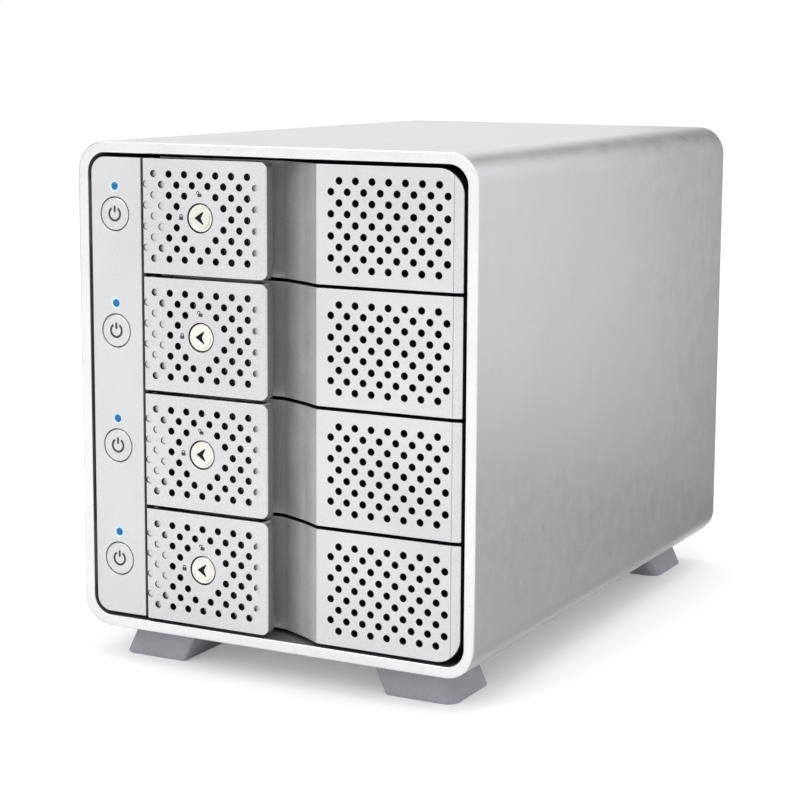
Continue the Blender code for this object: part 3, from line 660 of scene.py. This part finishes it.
def build_sleeve():
    """The extruded tube: rounded rims front and back, the rims' faces machined bright, and its inside
    faces darkened as painted shade for the gaps.
    """
    ease = 0.5 * MM
    turns = [(math.cos(math.radians(a)), math.sin(math.radians(a))) for a in (0, 22.5, 45, 67.5, 90)]
    section = []
    for c, s in turns:
        section.append((ease - ease * c, REAR - ease + ease * s))
    for c, s in reversed(turns):
        section.append((WALL - ease + ease * c, REAR - ease + ease * s))
    for c, s in turns:
        section.append((WALL - ease + ease * c, FRONT + ease - ease * s))
    for c, s in reversed(turns):
        section.append((ease - ease * c, FRONT + ease - ease * s))
    rings = []
    for inset, y in section:
        outline = rounded_rectangle(
            LEFT + inset, RIGHT - inset, BASE + inset, TOP - inset, [CORNER - inset] * 4, 20
        )
        rings.append([(x, y, z) for x, z in outline])
    mesh = loft(rings, closed=True, name="sleeve")
    finishes = [SLEEVE_METAL, RIM_METAL, SLEEVE_INSIDE_SHADE]
    for face in mesh.polygons:
        outward = face.center - MIDDLE
        outward.y = 0
        if abs(face.normal.y) > 0.35:
            face.material_index = 1
        # Faces that look inwards get the darkened inside: painted shade.
        elif face.normal.dot(outward) < 0:
            face.material_index = 2
    show("sleeve_finished", mesh, finishes, "enclosure", "outer_shell", 60)
    build_screw_bosses()


def build_screw_bosses():
    """Blocks in the rear corners that the panel screws go into."""
    screws = [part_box(f"rear_screw_{n}") for n in REAR_SCREWS]
    panel_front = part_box("rear_panel")[0].y
    parts = []
    reach, half, length = 8 * MM, WALL / 2, 14 * MM
    for low, high in screws:
        x, z = (low.x + high.x) / 2, (low.z + high.z) / 2
        edge_x = RIGHT - half if x > MIDDLE.x else LEFT + half
        edge_z = TOP - half if z > MIDDLE.z else BASE + half
        far_x = edge_x - math.copysign(reach + half, x - MIDDLE.x)
        far_z = edge_z - math.copysign(reach + half, z - MIDDLE.z)
        xs, zs = sorted((edge_x, far_x)), sorted((edge_z, far_z))
        big, small = CORNER - half, 1 * MM
        radii = [small] * 4
        radii[(0 if x < MIDDLE.x else 1) if z < MIDDLE.z else (3 if x < MIDDLE.x else 2)] = big
        outline = rounded_rectangle(*xs, *zs, radii, 6)
        parts.append(prism(outline, "Y", panel_front - length, panel_front - 0.3 * MM))
    show("sleeve_screw_bosses", joined(parts), SLEEVE_METAL, "enclosure")


def build_feet():
    for end in ("front", "rear"):
        for side in ("left", "right"):
            refined(f"foot_{end}_{side}", FOOT_PLASTIC, "enclosure", 0.5 * MM, 3)


# ---------------------------------------------------------------- control column

panel_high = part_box("control_panel")[1]
button_low, button_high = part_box("power_button_1")
BUTTON_X = (button_low.x + button_high.x) / 2
BUTTON_RADIUS = 5.0 * MM
BUTTON_FACE = button_low.y
RIM_GAP = 1.2 * MM
PANEL_LEFT = LEFT + WALL + RIM_GAP
pipe_low, pipe_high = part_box("light_pipe_1")
LIGHT_RADIUS = (pipe_high.x - pipe_low.x) / 2
LIGHT_RISE = (pipe_low.z + pipe_high.z) / 2 - BAY_Z[1]


def build_control_panel():
    edge = 0.5 * MM
    corner = INNER_CORNER - RIM_GAP
    bottom = BASE + WALL + RIM_GAP
    outline = rounded_rectangle(
        PANEL_LEFT, panel_high.x, bottom, 2 * MIDDLE.z - bottom, [corner, edge, edge, corner], 10
    )
    plate = eased(prism(outline, "Y", FRONT, FRONT + 3 * MM), 0.4 * MM, 3)
    rows = {
        "Columns": 1, "Rows": 4, "Row Pitch": BAY_PITCH, "Stagger": 0.0, "To X": 1.0, "Sides": 48
    }
    plate = perforated(
        plate, FRONT_SILVER, BUTTON_X, MIDDLE.z,
        **rows, **{"Hole Radius": BUTTON_RADIUS + 0.3 * MM, "Chamfer": 0.25 * MM},
    )
    plate = perforated(
        plate, FRONT_SILVER, BUTTON_X, MIDDLE.z + LIGHT_RISE,
        **rows, **{"Hole Radius": LIGHT_RADIUS + 0.15 * MM, "Chamfer": 0.3 * MM},
    )
    inside = LEFT + WALL + 0.3 * MM
    tabs = [
        block(inside, LEFT + 5.2 * MM, FRONT + 2.5 * MM, FRONT + 8 * MM, z - 10 * MM, z + 10 * MM)
        for z in (BAY_Z[1], BAY_Z[4])
    ]
    mesh = joined([plate, *tabs])
    show(
        "control_panel_finished", mesh, FRONT_SILVER, "enclosure", "control_panel",
    )


def power_mark(x, y, z):
    """The usual power sign, laid on the button: an open ring and a bar."""
    ring, half, lift = 2.0 * MM, 0.34 * MM, 0.04 * MM
    gap = 33
    outer = arc(x, z, ring + half, 90 + gap, 450 - gap, 40)
    inner = arc(x, z, ring - half, 450 - gap, 90 + gap, 40)
    bar = rounded_rectangle(x - half, x + half, z + 0.45 * MM, z + 2.55 * MM, [half * 0.9] * 4, 4)
    return joined([prism(shape, "Y", y - lift, y + lift) for shape in (outer + inner, bar)])


def build_buttons():
    r = BUTTON_RADIUS
    y = BUTTON_FACE
    profile = [
        (0.02 * MM, y + 0.12 * MM), (2.0 * MM, y + 0.10 * MM), (r - 1.3 * MM, y + 0.04 * MM),
        (r - 0.6 * MM, y), (r - 0.35 * MM, y + 0.02 * MM), (r - 0.1 * MM, y + 0.16 * MM),
        (r, y + 0.45 * MM), (r, y + 3.6 * MM), (1.6 * MM, y + 3.6 * MM), (1.6 * MM, button_high.y),
    ]
    for bay in BAYS:
        body = f"button_{bay}"
        cap = turned(profile, BUTTON_X, BAY_Z[bay], 64)
        show(
            f"power_button_{bay}_finished", cap, FRONT_SILVER, body, f"power_button_{bay}",
            30,
        )
        mark = power_mark(BUTTON_X, y + 0.09 * MM, BAY_Z[bay])
        show(f"power_mark_{bay}", mark, MARK_INK, body)


def build_lights():
    r = LIGHT_RADIUS
    y = pipe_low.y
    dome = [(r * math.sin(math.radians(a)), y + r * 0.4 * (1 - math.cos(math.radians(a))))
            for a in (2, 20, 40, 60, 80, 90)]
    profile = [*dome, (r, pipe_high.y)]
    lip = [(r + 0.02 * MM, y + 0.32 * MM), (r + 0.34 * MM, y + 0.06 * MM),
           (r + 0.42 * MM, y + 0.10 * MM), (r + 0.12 * MM, y + 0.42 * MM)]
    for bay in BAYS:
        z = BAY_Z[bay] + LIGHT_RISE
        show(
            f"light_pipe_{bay}_finished", turned(profile, BUTTON_X, z, 32), BLUE_LENS, "enclosure",
            f"light_pipe_{bay}",
        )
        rings = [[(a, depth, b) for a, b in circle(BUTTON_X, z, radius, 32)]
                 for radius, depth in lip]
        # Painted glow: the ring round each lens glows as if lit by the lamp.
        show(f"light_ring_{bay}", loft(rings, closed=True), GLOW_SPILL_RING, "enclosure")


# ---------------------------------------------------------------- trays


def toward(start, end, distance):
    share = min(distance / math.dist(start, end), 0.4)
    return tuple(a + (b - a) * share for a, b in zip(start, end))


def groove_curve():
    """The finger groove in plan: flat facets that meet in soft bends."""
    corners = [
        (GROOVE_RIGHT, FRONT), (LEFT + 77.8 * MM, FRONT + 3.9 * MM),
        (LEFT + 68.6 * MM, FRONT + 8.4 * MM), (LEFT + 66.6 * MM, FRONT + GROOVE_DEPTH),
        (LEFT + 65 * MM, FRONT + GROOVE_DEPTH),
    ]
    points = [corners[0]]
    for before, corner, after in zip(corners, corners[1:], corners[2:]):
        start, end = toward(corner, before, 0.9 * MM), toward(corner, after, 0.9 * MM)
        for t in (0, 0.25, 0.5, 0.75, 1):
            weights = ((1 - t) ** 2, 2 * t * (1 - t), t * t)
            points.append(tuple(
                sum(w * p for w, p in zip(weights, trio)) for trio in zip(start, corner, end)
            ))
    return points + [corners[-1]]


def fascia_outline():
    """The tray front in plan, cut through its middle."""
    right = FASCIA_RIGHT
    behind = FRONT + FASCIA_DEPTH
    wall = right - 2.5 * MM
    points = [(right, FRONT + 0.8 * MM), (right - 2.7 * MM, FRONT), *groove_curve()]
    points += [
        (LEFT + 24.2 * MM, FRONT + GROOVE_DEPTH), (LEFT + 24.2 * MM, behind),
        (LEFT + 66 * MM, behind), (LEFT + 74 * MM, FRONT + 8.2 * MM),
        (LEFT + 79.4 * MM, FRONT + 5.9 * MM), (GROOVE_RIGHT + 0.6 * MM, FRONT + SKIN),
        (wall, FRONT + SKIN), (wall, behind), (right, behind),
    ]
    return points


def finish_front(mesh, shade_side_from=None):
    """Silver where a face looks forwards; elsewhere near-black moulding that is painted shade for the
    holes and gaps, and grey painted shade on a lever's right edge.
    """
    finishes = [FRONT_SILVER, BLACK_SHADE_MOULDING, LEVER_SIDE_SHADE]
    mesh.materials.clear()
    for finish in finishes:
        mesh.materials.append(finish)
    for face in mesh.polygons:
        # Faces that don't look forwards get the near-black moulding: painted shade in holes and gaps.
        face.material_index = 0 if face.normal.y < -0.3 else 1
        # Past that x, faces looking right get the grey painted shade; the others there are silver.
        if shade_side_from and face.normal.y > -0.3 and face.center.x > shade_side_from:
            face.material_index = 2 if face.normal.x > 0.5 else 0
    return finishes


def hinge_and_catch(z):
    """The lugs that hold the lever's pin, and the hook for the lock's tongue."""
    head = 1.25 * MM
    back = FRONT + GROOVE_DEPTH + 1 * MM
    ear = arc(HINGE.x, HINGE.y, head, 180, 360, 12)
    ear += [(HINGE.x + head, back), (HINGE.x - head, back)]
    lug = prism(ear, "Z", z - 5 * MM, z + 5 * MM)
    x0, x1 = LOCK_X - 2.5 * MM, LOCK_X + 2.5 * MM
    tip = 9 * MM
    near = FRONT + 3 * MM
    post = block(x0, x1, near, back, z + tip + 0.5 * MM, z + tip + 2.3 * MM)
    hook = block(x0, x1, near, near + 1.6 * MM, z + tip - 2.5 * MM, z + tip + 1.5 * MM)
    return eased(lug, 0.15 * MM), eased(carve(post, [hook]), 0.2 * MM)


def build_fascia(bay):
    z = BAY_Z[bay]
    right = FASCIA_RIGHT
    body = prism(fascia_outline(), "Z", z - 2 * TRAY_HALF, z + 2 * TRAY_HALF)
    # The two outer trays have one large round corner that follows the sleeve.
    radii = [BARELY_ROUND] * 4
    if bay == BAYS[-1]:
        radii[1] = FASCIA_CORNER
    if bay == BAYS[0]:
        radii[2] = FASCIA_CORNER
    inside = rounded_rectangle(
        LEFT + 20 * MM, right + OVER, z - TRAY_HALF, z + TRAY_HALF, radii, 12
    )
    body = carve(body, keep=prism(inside, "Y", FRONT - 5 * MM, FRONT + BEYOND))
    # A scored line runs down the front near its right edge.
    line, above = right - SCORE_INSET, FRONT - 0.1 * MM
    scored = [(line - SCORE_HALF, above), (line + SCORE_HALF, above), (line, FRONT + SCORE_DEPTH)]
    score = prism(scored, "Z", z - 2 * TRAY_HALF, z + 2 * TRAY_HALF)
    body = carve(eased(body, 0.3 * MM, 2, 40), cut_meshes=[score])
    body = perforated(
        body, FRONT_SILVER, FASCIA_FIRST_HOLE, z,
        **{
            "Column Pitch": FASCIA_COLUMN_PITCH, "Depth": 5 * MM,
            "To X": FASCIA_FIRST_HOLE + LAST_COLUMN * FASCIA_COLUMN_PITCH,
        },
    )
    parts = joined([body, *hinge_and_catch(z)])
    show(
        f"tray_front_{bay}", parts, finish_front(parts), f"tray_{bay}", f"tray_fascia_{bay}",
        29,
    )


def lever_outline():
    """The lever in plan: hinge block, thin plate and thick lip."""
    x0, x1 = lever_low.x, lever_high.x
    thick = lever_high.y - LEVER_FACE
    block_x = LEFT + 32.2 * MM
    lip = 5.2 * MM
    y = LEVER_FACE
    return (
        arc(x0 + 0.6 * MM, y + 0.6 * MM, 0.6 * MM, 180, 270, 5)
        + arc(x1 - 0.9 * MM, y + 0.9 * MM, 0.9 * MM, 270, 360, 8)
        + arc(x1 - 0.8 * MM, y + thick - 0.8 * MM, 0.8 * MM, 0, 90, 6)
        + [
            (x1 - lip, y + thick), (x1 - lip - 1.2 * MM, y + SKIN),
            (block_x + 1 * MM, y + SKIN), (block_x, y + thick),
        ]
        + arc(x0 + 0.7 * MM, y + thick - 0.7 * MM, 0.7 * MM, 90, 180, 5)
    )


def build_lever(bay):
    z = BAY_Z[bay]
    x0, x1 = lever_low.x, lever_high.x
    small, big = 0.3 * MM, 2.2 * MM
    half = TRAY_HALF - 0.12 * MM
    deep = LEVER_FRONT + BEYOND
    outline = rounded_rectangle(
        x0 - 1 * MM, x1 + OVER, z - half, z + half, [small, big, big, small], 8
    )
    keep = prism(outline, "Y", LEVER_FRONT - 5 * MM, deep)
    # The fascia's lugs stand in the notch, and the pin runs through the bore.
    notch = block(
        x0 - 1 * MM, LEFT + 30.2 * MM, LEVER_FACE + 0.57 * MM, deep, z - 5.4 * MM, z + 5.4 * MM
    )
    bore = prism(circle(HINGE.x, HINGE.y, 0.95 * MM, 20), "Z", z - 30 * MM, z + 30 * MM)
    plate = prism(lever_outline(), "Z", z - TRAY_HALF, z + TRAY_HALF)
    body = carve(plate, cut_meshes=[notch, bore], keep=keep)
    body = eased(body, 0.3 * MM, 2, 40)
    first = LOCK_X - 3.5 * COLUMN_PITCH
    last = first + LAST_COLUMN * COLUMN_PITCH
    left_of, right_of = LOCK_X - 2.25 * COLUMN_PITCH, LOCK_X + 3.25 * COLUMN_PITCH
    face = {"Front Y": LEVER_FACE}
    around_lock = {"Clear X": LOCK_X, "Clear Radius": 7.5 * MM}
    around_hinge = {"Clear X": HINGE.x, "Clear Radius": 6.9 * MM}
    second = first + 0.25 * COLUMN_PITCH
    # Holes go through in the middle and are blind at both ends, shallow over the hinge.
    for values in (
        {**around_lock, "From X": left_of, "To X": right_of},
        {"To X": second, "Depth": SHALLOW_DEPTH},
        {**around_hinge, "From X": second, "To X": left_of, "Depth": BLIND_DEPTH},
        {
            **around_hinge, "From X": second, "To X": left_of, "Depth": SHALLOW_DEPTH,
            "Keep Inside": 1.0,
        },
        {"From X": right_of, "To X": last, "Depth": BLIND_DEPTH},
    ):
        body = perforated(body, FRONT_SILVER, first, z, **face, **values)
    body = perforated(
        body, FRONT_SILVER, LOCK_X, z,
        **{
            **face, "Columns": 1, "Rows": 1, "Stagger": 0.0, "To X": 1.0,
            "Hole Radius": LOCK_RADIUS + 0.2 * MM, "Chamfer": 0.15 * MM, "Sides": 64,
        },
    )
    # Right of x1 - 6 mm the lever's right-facing side takes the grey painted shade.
    show(
        f"lever_{bay}_finished", body, finish_front(body, x1 - 6 * MM), f"lever_{bay}",
        f"tray_lever_{bay}",
    )
    marks = joined([
        padlock_mark(LOCK_X, z + 7.1 * MM, shut=False),
        padlock_mark(LOCK_X - 6.6 * MM, z, shut=True),
    ])
    show(f"lock_marks_{bay}", marks, MARK_INK, f"lever_{bay}")


def padlock_mark(x, z, shut):
    """A tiny padlock sign: a body and a shackle, shut or swung open."""
    y0, y1 = LEVER_FRONT + 0.01 * MM, LEVER_FACE + 0.05 * MM
    half = 0.72 * MM
    body = rounded_rectangle(x - half, x + half, z - 0.75 * MM, z + 0.25 * MM, [0.15 * MM] * 4, 3)
    x += 0.0 if shut else -0.62 * MM
    wide, narrow, bend, low = 0.58 * MM, 0.3 * MM, z + 0.45 * MM, z + 0.2 * MM
    left_leg = [(x - wide, low), (x - narrow, low)]
    right_leg = [(x + narrow, low), (x + wide, low)]
    shackle = arc(x, bend, wide, 0, 180, 12) + left_leg + arc(x, bend, narrow, 180, 0, 12) + right_leg
    return joined([prism(body, "Y", y0, y1), prism(shackle, "Y", y0, y1)])


def build_lock(bay):
    """The key lock: a nickel face with a raised rim, an arrow keyway, and its tongue."""
    z = BAY_Z[bay]
    r = LOCK_RADIUS - 0.15 * MM
    y = LEVER_FACE + 0.1 * MM
    back = LEVER_FRONT + 7.0 * MM
    profile = [
        (0.02 * MM, y + 0.16 * MM), (r - 0.95 * MM, y + 0.16 * MM), (r - 0.8 * MM, y + 0.04 * MM),
        (r - 0.55 * MM, y), (r - 0.25 * MM, y + 0.03 * MM), (r - 0.06 * MM, y + 0.18 * MM),
        (r, y + 0.4 * MM), (r, back),
    ]
    arrow = [
        (LOCK_X - 2.1 * MM, z), (LOCK_X + 0.85 * MM, z + 1.95 * MM),
        (LOCK_X + 1.15 * MM, z + 1.75 * MM), (LOCK_X + 0.25 * MM, z),
        (LOCK_X + 1.15 * MM, z - 1.75 * MM), (LOCK_X + 0.85 * MM, z - 1.95 * MM),
    ]
    keyway = prism(arrow, "Y", y - 1 * MM, y + 1.3 * MM)
    barrel = carve(turned(profile, LOCK_X, z, 64), cut_meshes=[keyway])
    barrel.materials.clear()
    barrel.materials.append(LOCK_NICKEL)
    barrel.materials.append(BLACK_SHADE_MOULDING)
    # The keyway's walls and floor take the black moulding: painted shade in the recess.
    for face in barrel.polygons:
        offset = math.hypot(face.center.x - LOCK_X, face.center.z - z)
        keyway_shade = face.center.y > y + 0.3 * MM and offset < 2.6 * MM and face.center.y < y + 2 * MM
        face.material_index = 1 if keyway_shade else 0
    half = 2 * MM
    tongue = block(
        LOCK_X - 9 * MM, LOCK_X + half, LEVER_FRONT + 5.6 * MM, back + 0.2 * MM, z - half, z + half
    )
    mesh = joined([barrel, eased(tongue, 0.2 * MM)])
    show(
        f"key_lock_{bay}_finished", mesh, [LOCK_NICKEL, BLACK_SHADE_MOULDING], f"lock_{bay}",
        f"key_lock_{bay}", 30,
    )


def build_trays():
    for bay in BAYS:
        build_fascia(bay)
        build_lever(bay)
        build_lock(bay)
        # The carriers are near-black so the holes show dark behind them: partly painted shade.
        refined(f"tray_carrier_{bay}", SHADE_BLACK_STEEL, f"tray_{bay}", 0.25 * MM, 2)
        refined(f"lever_pin_{bay}", SCREW_STEEL, f"tray_{bay}", 0.1 * MM, 1)


# ---------------------------------------------------------------- inside and rear


def build_inside():
    for side in ("left", "right"):
        refined(f"bay_guide_{side}", ZINC, "enclosure", 0.15 * MM, 1)
    for board in ("control_board", "backplane", "main_board"):
        refined(board, BOARD_GREEN, "enclosure", 0.1 * MM, 1)
    for bay in BAYS:
        refined(f"drive_socket_{bay}", BLACK_PLASTIC, "enclosure", 0.2 * MM, 2)
    for port in ("ethernet_port", "usb_port", "esata_port", "dc_inlet"):
        refined(port, BLACK_PLASTIC, "enclosure", 0.2 * MM, 2)


def cross_screw(x, y, z, radius, head):
    """A pan head with a cross recess, facing +Y, its head's top at y."""
    profile = [
        (0.02 * MM, y), (radius * 0.55, y - 0.04 * MM), (radius * 0.85, y - 0.25 * MM),
        (radius, y - 0.6 * MM), (radius, y - head), (radius * 0.5, y - head),
        (radius * 0.5, y - head - 5 * MM),
    ]
    arm, half = radius * 0.5, radius * 0.13
    cuts = [
        block(x - a, x + a, y - 0.9 * MM, y + 1 * MM, z - b, z + b)
        for a, b in ((arm, half), (half, arm))
    ]
    return carve(turned(profile, x, z, 40), cut_meshes=cuts)


def build_rear():
    refined("rear_panel", ZINC, "enclosure", 0.15 * MM, 1)
    for number in REAR_SCREWS:
        low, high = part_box(f"rear_screw_{number}")
        x, z, radius = (low.x + high.x) / 2, (low.z + high.z) / 2, (high.x - low.x) / 2
        head = high.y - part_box("rear_panel")[1].y
        show(
            f"rear_screw_{number}_finished", cross_screw(x, high.y, z, radius, head), SCREW_STEEL,
            "enclosure", f"rear_screw_{number}",
        )
    refined("fan_frame", BLACK_PLASTIC, "enclosure", 0.3 * MM, 2)
    refined("fan_rotor", BLACK_PLASTIC, "fan", 0.2 * MM, 2)


# ---------------------------------------------------------------- stage, light, camera


def stage_object(name, mesh, material):
    mesh.materials.append(material)
    obj = loose_object(mesh, name)
    return obj


def card_finish(name, strength, ramps):
    """A card's glow: a strength, multiplied by ramps (axis, from, to, factor, factor)."""
    made = bpy.data.materials.new(name)
    made.use_nodes = True
    tree = made.node_tree
    tree.nodes.clear()
    out = tree.nodes.new("ShaderNodeOutputMaterial")
    glow = tree.nodes.new("ShaderNodeEmission")
    place = tree.nodes.new("ShaderNodeSeparateXYZ")
    link(tree, tree.nodes.new("ShaderNodeTexCoord").outputs["Object"], place.inputs[0])
    amount = strength
    for axis, start, end, low, high in ramps:
        amount = math_node(
            tree, "MULTIPLY", spread(tree, place.outputs[axis], start, end, low, high), amount
        )
    link(tree, amount, glow.inputs["Strength"])
    link(tree, glow.outputs[0], out.inputs["Surface"])
    return made


def reflection_card(name, corners, material):
    """A card that only shows up in glossy reflections, as a studio's flags do."""
    bm = bmesh.new()
    bm.faces.new([bm.verts.new(corner) for corner in corners])
    card = stage_object(name, mesh_from(bm, name), material)
    card.visible_camera = False
    card.visible_diffuse = False
    card.visible_transmission = False
    card.visible_shadow = False
    return card


def upright(x0, x1, y0, y1, low, high):
    return [(x0, y0, low), (x1, y1, low), (x1, y1, high), (x0, y0, high)]


def build_stage():
    """A white floor, and the cards that give the metal its bright and dark bands."""
    floor = loft([[(a, b, z) for a, b in circle(0, 0, 9.0, 64)] for z in (-0.004, 0)])
    pale, tree, shader = new_finish("pale_floor", (0.86, 0.86, 0.86), 0.0, 0.9)
    seen = tree.nodes.new("ShaderNodeLightPath").outputs["Is Camera Ray"]
    link(tree, math_node(tree, "MULTIPLY", seen, 0.22), shader.inputs["Emission Strength"])
    shader.inputs["Emission Color"].default_value = (1, 1, 1, 1)
    stage_object("floor", floor, pale)
    side = card_finish(
        "side_card_glow", 1.0,
        [
            ("X", 0.085, 0.215, 0.17, 0.86), ("X", -0.02, 0.065, 4.0, 1.0),
            ("Z", 0.0, 0.07, 0.8, 1.0), ("Z", 0.21, 0.3, 1.0, 1.35),
        ],
    )
    reflection_card("side_card", upright(-0.02, 0.8, 0.25, 0.25, 0.002, 0.45), side)
    ground = card_finish(
        "ground_card_glow", 1.0, [("Y", -0.08, 0.2, 1.0, 0.5), ("X", 0.08, 0.25, 0.42, 0.82)]
    )
    reflection_card(
        "ground_card",
        [(0.071, -0.16, 0.001), (0.8, -0.16, 0.001), (0.8, 0.249, 0.001), (0.071, 0.249, 0.001)],
        ground,
    )
    beside = card_finish(
        "left_ground_card_glow", 1.0, [("X", -0.5, -0.08, 0.85, 0.5), ("Y", -0.12, 0.2, 1.0, 0.75)]
    )
    reflection_card(
        "left_ground_card",
        [(-0.6, -0.12, 0.001), (-0.071, -0.12, 0.001), (-0.071, 0.3, 0.001), (-0.6, 0.3, 0.001)],
        beside,
    )
    left = card_finish(
        "left_card_glow", 1.0, [("Y", -0.2, -0.4, 0.14, 0.9), ("Z", 0.35, 0.8, 0.5, 1.0)]
    )
    reflection_card("left_card", upright(-0.7, -0.7, -0.45, 0.1, 0.0, 0.8), left)


def build_light():
    world = bpy.data.worlds.new("studio")
    world.use_nodes = True
    sky = world.node_tree.nodes["Background"]
    tree = world.node_tree
    # Seen directly the world is plain white; in reflections it is dimmer towards the horizon.
    height = tree.nodes.new("ShaderNodeSeparateXYZ")
    link(tree, tree.nodes.new("ShaderNodeTexCoord").outputs["Generated"], height.inputs[0])
    glow = spread(tree, height.outputs["Z"], 0.0, 0.8, 0.82, 0.95)
    seen = tree.nodes.new("ShaderNodeLightPath").outputs["Is Camera Ray"]
    link(tree, math_node(tree, "MAXIMUM", seen, glow), sky.inputs["Strength"])
    sky.inputs["Color"].default_value = (1, 1, 1, 1)
    bpy.context.scene.world = world
    for name, place, aim, size, power in (
        ("key_softbox", (-0.4, -1.5, 1.3), (0, 0, 0.08), 1.0, 8.0),
        ("top_softbox", (0.2, 0.1, 1.6), (0, 0, 0.1), 1.2, 5.0),
    ):
        lamp = bpy.data.lights.new(name, "AREA")
        lamp.shape = "SQUARE"
        lamp.size = size
        lamp.energy = power
        obj = bpy.data.objects.new(name, lamp)
        obj.location = place
        obj.rotation_mode = "QUATERNION"
        obj.rotation_quaternion = (Vector(aim) - Vector(place)).to_track_quat("-Z", "Y")
        bpy.context.scene.collection.objects.link(obj)
    bpy.context.scene.view_settings.view_transform = "Standard"


def build_camera():
    """Looks at the front and the right side from a little above."""
    azimuth, pitch, roll = math.radians(27.341), math.radians(8.441), math.radians(0.314)
    lens = bpy.data.cameras.new("camera")
    lens.sensor_width = 36
    lens.lens = 93.55
    lens.shift_y = -0.06
    lens.clip_end = 50
    camera = bpy.data.objects.new("camera", lens)
    turn = Matrix.Rotation(azimuth, 4, "Z") @ Matrix.Rotation(math.pi / 2 - pitch, 4, "X")
    turn = turn @ Matrix.Rotation(roll, 4, "Z")
    camera.matrix_world = Matrix.Translation((0.31381, -0.62734, 0.19222)) @ turn
    bpy.context.scene.collection.objects.link(camera)
    bpy.context.scene.camera = camera


build_camera()
build_stage()
build_light()
build_sleeve()
build_feet()
build_control_panel()
build_buttons()
build_lights()
build_trays()
build_inside()
build_rear()

bpy.context.view_layer.update()
